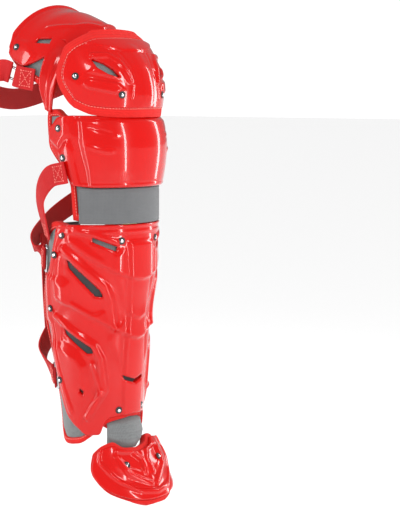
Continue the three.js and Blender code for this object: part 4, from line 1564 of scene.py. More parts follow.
def fill_out(piece: Piece, voxel: float, pressure: float, most: float) -> None:
    """Swells a stuffed piece with a short cloth simulation and keeps the result as its mesh.

    Args:
        piece: a closed mesh, a little smaller than it should end.
        voxel: size of the new faces, in millimetres.
        pressure: how hard it is stuffed.
        most: how far a point may move, in millimetres.
    """
    remesh = piece.modifiers.new("even", "REMESH")
    remesh.mode = "VOXEL"
    remesh.voxel_size = voxel * MM
    apply_modifiers(piece)
    count = len(piece.data.vertices)
    before = np.zeros(count * 3)
    piece.data.vertices.foreach_get("co", before)
    cloth = piece.modifiers.new("stuffing", "CLOTH")
    cloth.settings.quality = 6
    cloth.settings.use_pressure = True
    cloth.settings.uniform_pressure_force = pressure
    cloth.settings.effector_weights.gravity = 0
    cloth.point_cache.frame_start, cloth.point_cache.frame_end = 1, 20
    scene = bpy.context.scene
    for frame in range(1, 21):
        scene.frame_set(frame)
    apply_modifiers(piece)
    scene.frame_set(1)
    after = np.zeros(count * 3)
    piece.data.vertices.foreach_get("co", after)
    moved = (after - before).reshape(-1, 3)
    far = np.linalg.norm(moved, axis=1, keepdims=True)
    moved = moved * np.minimum(1, most * MM / np.maximum(far, 1e-9))
    piece.data.vertices.foreach_set("co", before + moved.ravel())
    even = piece.modifiers.new("calm", "SMOOTH")
    even.factor, even.iterations = 0.5, 3
    finer = piece.modifiers.new("finer", "SUBSURF")
    finer.levels = finer.render_levels = 1
    apply_modifiers(piece)
    shade_smooth(piece.data)
    LOG.info("%s: moved %.1f mm at most", piece.name, float(far.max()) / MM)


# Frames of the guard

SHIN_BOTTOM, SHIN_HEIGHT = -140.0, 244.0
KNEE_BOTTOM, KNEE_HEIGHT = SHIN_BOTTOM + SHIN_HEIGHT + 2, 139.0
CAP_BOTTOM = KNEE_BOTTOM + 0.874 * KNEE_HEIGHT + 0.51
THIGH_LEAN = 20.0


@dataclass
class Rivets:
    """Every rivet, gathered as the shells are made and set by one tree."""

    radius: float = 4.1
    height: float = 2.1
    places: list[Array] = field(default_factory=list)
    facing: list[Array] = field(default_factory=list)
    nodes: list[str] = field(default_factory=list)

    def add(self, shell: Piece, wrap: Wrap, turn: float, up: float, name: str) -> None:
        """Seats a rivet on a shell, on both sides.

        Args:
            shell: the finished shell.
            wrap: its wrap.
            turn: place round the leg.
            up: place up the wrap.
            name: the node's name before its side.
        """
        for side, word in ((-1, "right"), (1, "left")):
            out = wrap.facing(side * turn, up)
            start = wrap.point(side * turn, up, 30.0) * MM
            hit, where, _, _ = shell.ray_cast(Vector(start), Vector(-out))
            if not hit:
                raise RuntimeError(f"no shell under rivet {name}_{word}")
            self.places.append(np.array(where) / MM)
            self.facing.append(out)
            self.nodes.append(f"{name}_{word}")

    def build(self, repeats: Repeats) -> Piece:
        """All rivets: a dark ring standing for the nodes, with a bright dome in it.

        Args:
            repeats: the Geometry Nodes trees.

        Returns:
            The rings.
        """
        facing = np.array(self.facing)
        r, h = self.radius, self.height
        ring = ((0, -0.3), (r, -0.3), (r, 0.45), (0.9 * r, 0.95), (0.74 * r, 1.0), (0.66 * r, 0.4), (0, 0.4))
        dome = ((0, 0.2), (0.6 * r, 0.2), (0.6 * r, 0.6), (0.5 * r, 0.8 * h), (0.32 * r, 0.96 * h), (0, h))
        pieces = []
        for name, profile, finish in (("rivets", ring, Finishes.DARK),
                                      ("rivet_domes", dome, Finishes.BRIGHT)):
            base = marked(name, np.array(self.places), facing, np.cross(facing, [0.3, 0.2, 0.9]))
            pieces.append(repeats.run(name, repeats.spots, base, lathe("rivet", profile, 22), finish))
        dress(pieces[1], Finishes.BRIGHT)
        return dress(pieces[0], Finishes.DARK, *self.nodes)


@dataclass
class Guard:
    """The wraps of the whole guard, in one place."""

    seat: float = 39.262

    def __post_init__(self) -> None:
        """Makes the wraps."""
        leg = Matrix.Translation((0, self.seat, 0))
        lean = Matrix.Rotation(math.radians(THIGH_LEAN - 90), 4, "X")
        thigh_back = -23.8 / 76
        self.shin = Wrap(SHIN_BOTTOM, SHIN_HEIGHT, 69, 70, [
            (-0.1, 0.71, 0.71, 0, 1.0), (0, 0.72, 0.72, 0, 0.98), (0.14, 0.75, 0.75, 0, 0.88),
            (0.29, 0.79, 0.79, 0, 0.72), (0.38, 0.815, 0.815, 0, 0.58),
            (0.57, 0.855, 0.855, 0, 0.42), (0.73, 0.94, 0.94, 0, 0.6),
            (0.85, 0.98, 0.98, 0, 0.8), (1.06, 1, 1, 0, 0.95)], leg)
        self.knee = Wrap(KNEE_BOTTOM, KNEE_HEIGHT, 68, 70, [
            (0, 0.96, 0.96, -0.1, 0.1), (0.28, 0.96, 0.95, -0.11, 0.1),
            (0.45, 0.97, 0.93, -0.15, 0.1), (0.7, 1, 0.92, -0.17, 0.1),
            (0.86, 1, 0.91, -0.14, 0.1), (1, 1, 0.9, -0.1, 0.1)], leg)
        self.cap = Wrap(CAP_BOTTOM, 93, 74, 70, [
            (0, 0.95, 0.95, -0.07, 0.1), (0.2, 0.98, 0.99, -0.05, 0.1),
            (0.5, 1, 0.9, -0.06, 0.1), (0.77, 0.95, 0.67, -0.07, 0.1),
            (1, 0.84, 0.42, -0.02, 0.1)], leg)
        self.thigh = Wrap(12, 88, 76, 70, [
            (-0.3, 0.88, 0.84, thigh_back), (0.08, 0.885, 0.9, thigh_back),
            (0.3, 0.98, 1, thigh_back), (0.6, 1, 1.01, thigh_back),
            (0.85, 1, 0.97, thigh_back), (1, 1.02, 0.97, thigh_back)],
            leg @ Matrix.Translation((0, 0, CAP_BOTTOM)) @ lean)
        self.toe = Wrap(SHIN_BOTTOM - 74, 70, 60, 40, [
            (0, 0.83, 0.58, -1.02), (0.2, 0.97, 0.7, -0.79), (0.5, 1.02, 0.7, -0.58),
            (0.78, 0.95, 0.56, -0.5), (1, 0.82, 0.46, -0.46)], leg)
        self.ankle = Wrap(SHIN_BOTTOM - 17, 33, 50, 40, [
            (0, 1.02, 1.12, 0), (0.5, 0.97, 1.02, 0), (1, 0.93, 0.93, 0)], leg)


# Sub-assemblies


@dataclass
class SubAssembly:
    """What every sub-assembly is built with: the wraps, the rivets gathered so far and the trees."""

    guard: Guard
    rivets: Rivets
    repeats: Repeats


@dataclass
class ShinGuard(SubAssembly):
    """The long shell, its padded wings, their tape and the black pad inside."""

    columns: int = 190
    rows: int = 180
    spine: float = 3.0
    rib: float = 3.0

    def features(self) -> list[Feature]:
        """The shell's relief, from its middle outwards.

        Returns:
            The relief.
        """
        spine = ((-0.2, 0.93), (0.2, 0.93), (0.165, 0.57), (0.2, 0.3), (0.2, 0.05), (-0.2, 0.05), (-0.2, 0.3),
                 (-0.165, 0.57))
        return [
            Plateau(spine, self.spine, 4.0),
            Plateau(((0.2, 0.91), (0.36, 0.87), (0.35, 0.77), (0.165, 0.565)), 1.6, 4.0),
            Plateau(((0.2, 0.56), (0.34, 0.53), (0.42, 0.46), (0.22, 0.30)), 1.6, 4.0),
            Tier(((0.0, 0.745), (0.17, 0.755), (0.41, 0.798), (0.635, 0.855), (0.85, 0.92)), 2.8, 18),
            Tier(((0.0, 0.462), (0.12, 0.473), (0.245, 0.493), (0.57, 0.563), (0.875, 0.623),
                  (1.1, 0.655)), 3.2, 18),
            Tier(((0.0, 0.556), (0.135, 0.583)), 2.4, 9),
            Ridge(((0.765, 0.985), (0.32, 0.925)), 3.4, 2.2, 1.8),
            Ridge(((0.92, 0.89), (0.45, 0.715), (0.385, 0.655), (0.335, 0.52)), 6.5, self.rib, 2.4),
            Ridge(((1.17, 0.57), (0.58, 0.43), (0.5, 0.373), (0.445, 0.223),
                   (0.7, 0.09)), 6.5, self.rib, 2.4),
            Ridge(((0.61, 0.345), (0.5, 0.2)), 3.6, 2.6),
            Ridge(((0.93, 1.0), (1.09, 0.86), (1.27, 0.73), (1.34, 0.57), (1.26, 0.43), (1.15, 0.3),
                   (0.95, 0.12)),
                  7.0, 1.7, 2.0),
            Plateau(((0.95, 0.86), (0.5, 0.69), (0.42, 0.6), (0.6, 0.575), (0.88, 0.64), (0.88, 0.73),
                     (1.0, 0.76)),
                    -1.5, 3.0),
            Plateau(((1.08, 0.53), (0.62, 0.43), (0.53, 0.36), (0.52, 0.2), (0.62, 0.16), (0.7, 0.335),
                     (0.82, 0.4), (1.12, 0.45)), -1.5, 3.0),
            Plateau(((1.6, 0.8), (1.065, 0.765), (0.88, 0.728), (0.875, 0.62), (1.15, 0.54),
                     (1.6, 0.5)), 2.4, 7.0),
            Plateau(((1.4, 0.46), (1.1, 0.44), (0.815, 0.395), (0.705, 0.335), (0.66, 0.185), (0.8, 0.02),
                     (1.3, 0.02)), 2.4, 7.0),
            Ridge(((0.0, 0.972), (1.05, 0.969)), 1.6, 1.4, 1.6),
            Ridge(((0.0, 1.0), (1.05, 0.997)), 2.4, 1.8, 1.8),
        ]

    def slots(self) -> list[Slot]:
        """The shell's holes.

        Returns:
            The holes.
        """
        return [
            Slot(((0.575, 0.942), (0.32, 0.9), (0.33, 0.884), (0.575, 0.928))),
            Slot(((0.875, 0.838), (0.52, 0.7), (0.475, 0.668), (0.56, 0.671), (0.87, 0.804))),
            Slot(((1.03, 0.517), (0.63, 0.424), (0.61, 0.4), (0.68, 0.398), (1.0, 0.484))),
            Slot(((0.79, 0.226), (0.745, 0.215), (0.755, 0.2), (0.8, 0.211)), 0.5),
            Slot(((-0.19, 0.285), (0, 0.262), (0.19, 0.285), (0.17, 0.268), (0.0, 0.246),
                  (-0.17, 0.268)), 0.4),
        ]

    def shell(self) -> None:
        """The shell and its rivets."""
        outline = Outline(self.guard.shin, [
            (0, 0.76), (0.11, 1.06), (0.3, 1.27), (0.43, 1.38), (0.57, 1.46), (0.73, 1.38),
            (0.85, 1.19), (1, 0.98)], [
            (0, 0.098, 1.005), (0.35, 0.085, 1.005), (0.72, 0.002, 1.005), (0.95, 0, 1.002),
            (1, 0.012, 0.992)])
        piece = shell_piece("shin_shell_skin", outline, self.features(), self.slots(),
                            self.columns, self.rows)
        dress(piece, Finishes.SHELL, "shin_shell")
        # Black knit patches under slots B, C and the V notch: painted shade in the slot openings, darker than
        # the grey knit seen through the other slots.
        dark = []
        for slot in [self.slots()[k] for k in (1, 2, 4)]:
            dark += patch_piece("vent", self.guard.shin, slot.places, 3.5, -3.75, -3.1, Finishes.BLACK)
        dress(joined("shin_vents", dark), Finishes.BLACK)
        for name, turn, up in (("collar_side", 0.93, 0.955), ("collar_front", 0.27, 0.93),
                               ("wing_high", 1.06, 0.86), ("wing_middle", 1.28, 0.6),
                               ("wing_low", 1.12, 0.26), ("ankle", 0.24, 0.12)):
            self.rivets.add(piece, self.guard.shin, turn, up, f"shin_rivet_{name}")

    def build(self) -> None:
        """All pieces of this part."""
        self.shell()
        self.pads()

    def pads(self) -> None:
        """The padded wings, their tape, lining holes and the black inner pad."""
        wrap = self.guard.shin
        outline = Outline(wrap, [
            (-0.09, 1.36), (-0.03, 1.56), (0.05, 1.68), (0.14, 1.71), (0.25, 1.58), (0.38, 1.7), (0.57, 1.83),
            (0.69, 1.83), (0.8, 1.79), (0.93, 1.84)], [
            (0, 0.075, 1), (0.2, 0.06, 1), (0.44, -0.02, 1), (0.6, -0.055, 1.02), (0.85, -0.07, 0.97),
            (1, -0.02, 0.92)], 0.1)
        Cushion("shin", (110, 90), (150, 110), 3).build(
            outline, self.repeats, lambda turn, up: abs(turn) < 0.66 and 0.12 < up < 0.96)
        oval = [(1.34 + 0.09 * math.cos(a), 0.062 + 0.047 * math.sin(a))
                for a in np.linspace(0, 2 * math.pi, 37)[:-1]]
        badge = patch_piece("wing_oval", wrap, oval, 1.0, LAYERS.pad_out - 0.35, LAYERS.pad_out + 0.7,
                            Finishes.SLIDE_BLACK, both=False)
        dress(badge[0], Finishes.SLIDE_BLACK)
        inside = Outline(wrap, [(0.15, 0.3), (0.25, 0.5), (0.9, 0.6)],
                         [(0, 0.13, 0.94), (0.6, 0.14, 0.94), (1, 0.22, 0.92)])
        across, along = np.meshgrid(2 * stops(50, 0.03) - 1, stops(70, 0.02))
        turn, up = inside.at(across, along)
        gap = inside.rim_distance(across, along)
        channel = 0.9 * np.exp(-((np.abs(turn) - 0.25) * 60) ** 2)
        outer = wrap.point(turn, up, LAYERS.inner_out - 0.1 - 0.5 * rounded(gap, 3.0))
        inner = wrap.point(turn, up, LAYERS.inner_out - LAYERS.inner_pad + rounded(gap, 4.5) * 0.9 + channel)
        piece = wall_piece("shin_inner_cushion", outer, inner, Finishes.BLACK)
        fill_out(piece, 3.0, 1.5, 1.0)
        dress(piece, Finishes.BLACK, "shin_inner_pad")


@dataclass
class KneeGuard(SubAssembly):
    """The shell under the knee cap, its pad and tape, and the grey band."""

    def features(self) -> list[Feature]:
        """The barrel, the two side plates and the creases.

        Returns:
            The relief.
        """
        barrel = ((0.85, 0.93), (0.775, 0.87), (0.77, 0.653), (0.7, 0.433), (0.66, 0.25), (-0.66, 0.25),
                  (-0.77, 0.65), (-0.85, 0.93))
        return [
            Plateau(barrel, 3.2, 4.0),
            Plateau(((0.88, 0.96), (1.105, 0.868), (1.33, 0.78), (1.34, 0.68), (1.12, 0.598),
                     (0.93, 0.715)), 2.2, 3.0),
            Plateau(((1.13, 0.575), (0.93, 0.69), (0.86, 0.6), (0.8, 0.42), (0.74, 0.3),
                     (0.9, 0.28)), 2.2, 3.0),
            Ridge(((0.65, 0.785), (0.42, 0.725)), 0.8, -1.5, 1.6),
            Ridge(((0.4, 0.715), (0.38, 0.705)), 1.5, 1.0, 1.6),
            Ridge(((0.66, 0.628), (0.55, 0.603), (0.43, 0.588)), 2.2, 1.0, 2.0),
            Ridge(((0.0, 0.318), (0.72, 0.318)), 1.6, 1.0, 1.5),
            Tier(((0.0, 0.34), (0.72, 0.34)), 0.6, 6),
        ]

    def build(self) -> None:
        """All pieces of this part."""
        wrap = self.guard.knee
        outline = Outline(wrap, [
            (0.3, 0.84), (0.46, 1.03), (0.64, 1.3), (0.74, 1.31), (0.82, 1.18),
            (0.88, 1.05)], [(0, 0.296, 0.874), (0.8, 0.296, 0.874), (1, 0.31, 0.86)])

        def belly(turn: Array, up: Array) -> Array:
            """The barrel's swell, and its fall under the cap's edge.

            Args:
                turn: place round the leg.
                up: place up the wrap.

            Returns:
                The lift.
            """
            share = np.clip((up - 0.3) / 0.55, 0, 1)
            swell = 3.4 * np.sin(np.pi * share) * (1 - smooth(np.abs(turn), 0.5, 0.85))
            return swell - 3.2 * smooth(up, 0.82, 0.865) * (1 - smooth(np.abs(turn), 0.78, 0.86))

        shell = shell_piece("knee_shell_skin", outline, self.features(), [], 150, 90, extra=belly)
        dress(shell, Finishes.SHELL, "lower_knee_shell")
        self.rivets.add(shell, wrap, 1.08, 0.77, "plate_rivet_upper")
        self.rivets.add(shell, wrap, 1.0, 0.535, "plate_rivet_lower")
        pad_outline = Outline(wrap, [
            (0, 0.9), (0.3, 0.93), (0.46, 1.14), (0.64, 1.42), (0.8, 1.44), (0.93, 1.4)], [
            (0, 0.003, 0.872), (0.7, 0.003, 0.872), (0.86, 0.01, 0.93), (1, 0.02, 0.925)], 0.06)
        Cushion("knee", (80, 56), (90, 60), 11, Finishes.LINING).build(pad_outline, self.repeats)
        self.band()

    def band(self) -> None:
        """The grey band under the shell, a flat stretch of cloth with two sewn edges."""
        wrap = self.guard.knee
        outline = Outline(wrap, [(0, 0.79), (1, 0.79)], [(0, 0.001, 0.289), (1, 0.001, 0.289)])
        across, along = np.meshgrid(2 * stops(110, 0.01) - 1, stops(34, 0.04))
        turn, up = outline.at(across, along)
        gap = outline.rim_distance(across, along)
        lift = -rounded(gap, 1.2) - 0.5 * np.exp(-((gap - 3.2) / 0.7) ** 2)
        outer = wrap.point(turn, up, lift)
        inner = wrap.point(turn, up, np.full_like(lift, -LAYERS.band + 0.4))
        piece = wall_piece("front_band_cloth", outer, inner, Finishes.BAND)
        flat = np.stack([turn * wrap.radius * np.pi / 2, up * wrap.height], axis=-1).reshape(-1, 2)
        give_map(piece, np.tile(flat, (2, 1)))
        dress(piece, Finishes.BAND, "front_band")


@dataclass
class InsideKnee(SubAssembly):
    """The black roll round a block of foam, inside the knee."""

    middle: float = 0.53
    half_height: float = 0.27
    half_turn: float = 0.5
    radius: float = 11.0
    squash: float = 0.75
    plump: float = 13.0
    foam_turn: float = 0.24
    foam_up: float = 0.165

    def build(self) -> None:
        """The roll with its folds, the foam and its plain badge."""
        wrap = self.guard.knee
        lift = LAYERS.pad_in - LAYERS.seat - self.radius * self.squash - 1.2
        count = 150
        angles = np.radians(np.linspace(-130, 150, count))
        turns = -self.half_turn * np.sin(angles)
        ups = self.middle + self.half_height * np.cos(angles)
        path = wrap.point(turns, ups, np.full(count, lift))
        outs = wrap.facing(turns, ups)
        shares = np.linspace(0, 1, count)
        folds = np.abs(np.sin(np.pi * (shares * 13 + 0.3 * np.sin(9 * shares)))) ** 0.5
        taper = np.minimum(1, np.minimum(shares, 1 - shares) * 14 + 0.35)
        ring = superellipse(2, 2 * self.squash, 28, 2.3)
        around = 2 * np.pi * (np.arange(28) + 0.5) / 28

        def section(k: int) -> Array:
            """The roll's section, puckered at its folds.

            Args:
                k: which ring.

            Returns:
                The section.
            """
            size = self.plump * taper[k] * (0.8 + 0.2 * folds[k])
            groove = 1 - 0.07 * np.exp(-((around - 4.4) / 0.22) ** 2)
            return ring * (size * 0.97 * groove)[:, None]

        points, faces = tube(swept(path, outs, section, False), False)
        roll = make_object("knee_bolster_roll", points, outward(points, faces),
                           [Finishes.SATIN.made()], sharp=180)
        fill_out(roll, 2.6, 3.0, 1.6)
        dress(roll, Finishes.BLACK, "knee_bolster")
        across, along = np.meshgrid(2 * stops(36, 0.05) - 1, stops(36, 0.05))
        rise = 2 * along - 1
        turn = self.foam_turn * across * np.sqrt(1 - 0.46 * rise ** 2)
        up = self.middle + self.foam_up * rise * np.sqrt(1 - 0.46 * across ** 2)
        gap = np.minimum(1 - np.abs(across), 1 - np.abs(rise)) * 26
        outer = wrap.point(turn, up, np.full_like(turn, LAYERS.pad_in - LAYERS.seat))
        inner = wrap.point(turn, up, LAYERS.pad_in - LAYERS.seat - 9 + rounded(gap, 6.0))
        foam = wall_piece("knee_foam_block", outer, inner, Finishes.FOAM)
        dress(foam, Finishes.FOAM, "knee_foam")
        badge = lathe("foam_badge", ((0, 0), (9.5, 0), (9.5, 0.5), (8.6, 0.9), (7.8, 0.6), (3.2, 0.55),
                                     (2.6, 0.85), (0, 0.9)), 48)
        out = -wrap.facing(0.0, self.middle)
        at = wrap.point(0.0, self.middle, LAYERS.pad_in - LAYERS.seat - 9)
        badge.data.transform(Matrix.Translation(Vector(at * MM))
                             @ Vector(out).to_track_quat("Z", "Y").to_matrix().to_4x4())
        badge.data.materials.append(Finishes.BADGE.made())
        dress(badge, Finishes.BADGE)


@dataclass
class KneeCap(SubAssembly):
    """The domed cap over the knee."""

    def build(self) -> None:
        """Cap shell, its pad and its tape."""
        wrap = self.guard.cap
        outline = Outline(wrap, [(0, 0.74), (0.2, 0.88), (0.5, 0.96), (0.77, 0.92), (1, 0.7)], [
            (0, 0.006, 1), (0.5, 0, 0.99), (0.8, 0.02, 0.91), (1, 0.14, 0.76)], 0.22)
        features: list[Feature] = [
            Ridge(((0.52, 0.7), (0.355, 0.7), (0.26, 0.62), (0.19, 0.4)), 4.0, 2.6, 2.0),
            Plateau(((0.62, 0.5), (0.53, 0.585), (0.3, 0.44), (0.32, 0.415)), 1.8, 2.4),
            Plateau(((0.68, 0.37), (0.6, 0.445), (0.32, 0.385), (0.26, 0.3), (0.365, 0.24),
                     (0.64, 0.31)), 2.0, 2.4),
            Tier(((0.0, 0.75), (0.145, 0.757), (0.455, 0.82), (0.6, 0.86)), 2.2, 14),
            Ridge(((0.0, 0.2), (0.0, 0.72)), 9.0, 1.0, 8.0),
            Ridge(((0.2, 0.2), (0.14, 0.55), (0.2, 0.74)), 1.0, -0.8, 1.5),
        ]
        slots = [Slot(((0.535, 0.655), (0.43, 0.612), (0.35, 0.54), (0.3, 0.452), (0.4, 0.487),
                       (0.5, 0.57)), 0.5)]

        def dome(turn: Array, up: Array) -> Array:
            """The cap's crown."""
            return 2.5 * (1 - smooth(np.abs(turn), 0, 0.8)) * (1 - smooth(np.abs(2 * up - 1), 0, 1))

        shell = shell_piece("knee_cap_skin", outline, features, slots, 190, 140,
                            LAYERS.tape - 1.0, extra=dome)
        dress(shell, Finishes.SHELL, "knee_cap_shell")
        self.rivets.add(shell, wrap, 0.74, 0.46, "cap_rivet_side")
        self.rivets.add(shell, wrap, 0.3, 0.24, "cap_rivet_front")
        cushion = Cushion("knee_cap", (60, 50), (90, 60), 21, rise=2.95, lip=4.0, pierced=False)
        cushion.build(outline, self.repeats)


@dataclass
class ThighGuard(SubAssembly):
    """The flared piece over the knee, with its two arms."""

    def build(self) -> None:
        """Thigh shell, pad, tape and lining holes."""
        wrap = self.guard.thigh
        outline = Outline(wrap, [(0, 0.64), (0.28, 0.72), (0.45, 0.84), (0.58, 0.9), (0.75, 0.9),
                                 (0.89, 0.84), (1, 0.76)], [(0, 0, 1), (0.8, 0, 1), (1, 0.05, 0.9)],
                          0.2)
        features: list[Feature] = [
            Plateau(((0.67, 0.95), (0.66, 0.64), (0.76, 0.42), (0.95, 0.5), (0.95, 0.9)), 2.0, 2.5),
            Ridge(((0.46, 0.56), (0.275, 0.283), (0.0, 0.165)), 1.6, 2.0, 3.0),
            Ridge(((0.0, 0.93), (0.6, 0.93), (0.8, 0.86)), 1.2, -0.9, 1.2),
            Ridge(((0.0, 0.985), (0.7, 0.985)), 3.0, 1.5, 2.0),
        ]
        slots = [Slot(((0.64, 0.56), (0.585, 0.36), (0.53, 0.2), (0.5, 0.2), (0.525, 0.36),
                       (0.6, 0.56)), 0.6)]
        middle = shell_piece("thigh_middle", outline, features, slots, 130, 84)
        arms = [self.arm(side) for side in (-1, 1)]
        shell = joined("thigh_skin", [middle, *arms])
        dress(shell, Finishes.SHELL, "thigh_shell")
        self.rivets.add(shell, wrap, 0.76, 0.78, "thigh_rivet")
        pad_outline = Outline(wrap, [(0.03, 1.13), (0.15, 1.06), (0.34, 1.01), (0.58, 0.97),
                                     (0.89, 0.9), (1, 0.82)],
                              [(0, 0.03, 1), (0.8, 0.03, 1), (1, 0.06, 0.93)], 0.16)
        Cushion("thigh", (80, 56), (90, 60), 31, rise=-0.35, drop=-0.6).build(pad_outline, self.repeats)

    def arm(self, side: int) -> Piece:
        """One arm down the side of the knee.

        Args:
            side: -1 or 1.

        Returns:
            The arm.
        """
        wrap = self.guard.thigh
        low = Column((0, 0.3, 0.65, 1), (0.02, 0.03, 0.02, -0.02))
        high = Column((0, 0.3, 0.65, 1), (0.4, 0.3, 0.22, 0.09))
        across, along = np.meshgrid(stops(80, 0.02), stops(26, 0.05))
        turn = side * (0.5 + 0.86 * across)
        up = low(across) + (high(across) - low(across)) * along
        tall = (high(across) - low(across)) * wrap.height
        gap = np.minimum.reduce([along * tall, (1 - along) * tall, (1 - across) * 100, across * 100 + 5])
        rib = 1.1 * np.exp(-((along - 0.45) / 0.12) ** 2) * smooth(across, 0.1, 0.3)
        outer = wrap.point(turn, up, rib - rounded(gap, 1.6))
        inner = wrap.point(turn, up, np.full_like(rib, -LAYERS.wall))
        return wall_piece("thigh_arm", outer, inner, Finishes.SHELL)


@dataclass
class ToeGuard(SubAssembly):
    """The toe piece and the cloth that joins it to the shin."""

    def build(self) -> None:
        """Toe shell, pad, tape and the ankle gusset."""
        wrap = self.guard.toe
        outline = Outline(wrap, [(0, 0.6), (0.2, 0.82), (0.5, 0.92), (0.8, 0.88), (1, 0.7)], [
            (0, 0, 0.86), (0.25, 0, 0.89), (0.6, 0.03, 1), (0.85, 0.12, 0.96), (1, 0.28, 0.8)], 0.16)
        features: list[Feature] = [
            Plateau(((0.37, 0.8), (0.17, 0.77), (0.07, 0.65), (0.09, 0.47), (0.27, 0.58)), -1.4, 1.0),
            Ridge(((0.39, 0.83), (0.15, 0.82), (0.04, 0.66), (0.06, 0.44)), 2.2, 2.0, 2.0),
            Ridge(((0.4, 0.74), (0.29, 0.47), (0.05, 0.29)), 3.4, 2.6, 2.2),
            Ridge(((0.66, 0.93), (0.7, 0.69), (0.47, 0.38), (0.265, 0.22), (0.0, 0.17)), 2.0, 2.2, 2.2),
            Ridge(((0.0, 0.3), (0.0, 0.8)), 1.0, 1.0, 3.0),
        ]
        shell = shell_piece("toe_skin", outline, features, [], 120, 80, 5.0)
        dress(shell, Finishes.SHELL, "toe_shell")
        self.rivets.add(shell, wrap, 0.3, 0.62, "toe_rivet")
        Cushion("toe", (56, 40), (80, 50), 41, Finishes.LINING, 0.6).build(outline, self.repeats)
        ankle = self.guard.ankle
        cloth = Outline(ankle, [(0, 0.46), (1, 0.4)], [
            (0, 0.07, 0.985), (0.4, 0.15, 0.96), (1, 0.42, 0.9)])
        across, along = np.meshgrid(2 * stops(60, 0.02) - 1, stops(40, 0.03))
        turn, up = cloth.at(across, along)
        gap = cloth.rim_distance(across, along)
        folds = 0.5 * ripple(up + 0.2 * turn, (4.0, 9.0), 51) * smooth(gap, 1, 7)
        tuck = 9 * (1 - smooth(along, 0, 0.2)) + 8 * smooth(along, 0.85, 1)
        up = up - 0.17 * (1 - smooth(along, 0, 0.25)) + 0.16 * smooth(along, 0.8, 1)
        outer = ankle.point(turn, up, folds - rounded(gap, 1.0) - tuck)
        inner = ankle.point(turn, up, np.full_like(folds, -LAYERS.band + 0.8) - tuck)
        piece = wall_piece("ankle_gusset_cloth", outer, inner, Finishes.KNIT)
        dress(piece, Finishes.KNIT, "ankle_gusset")


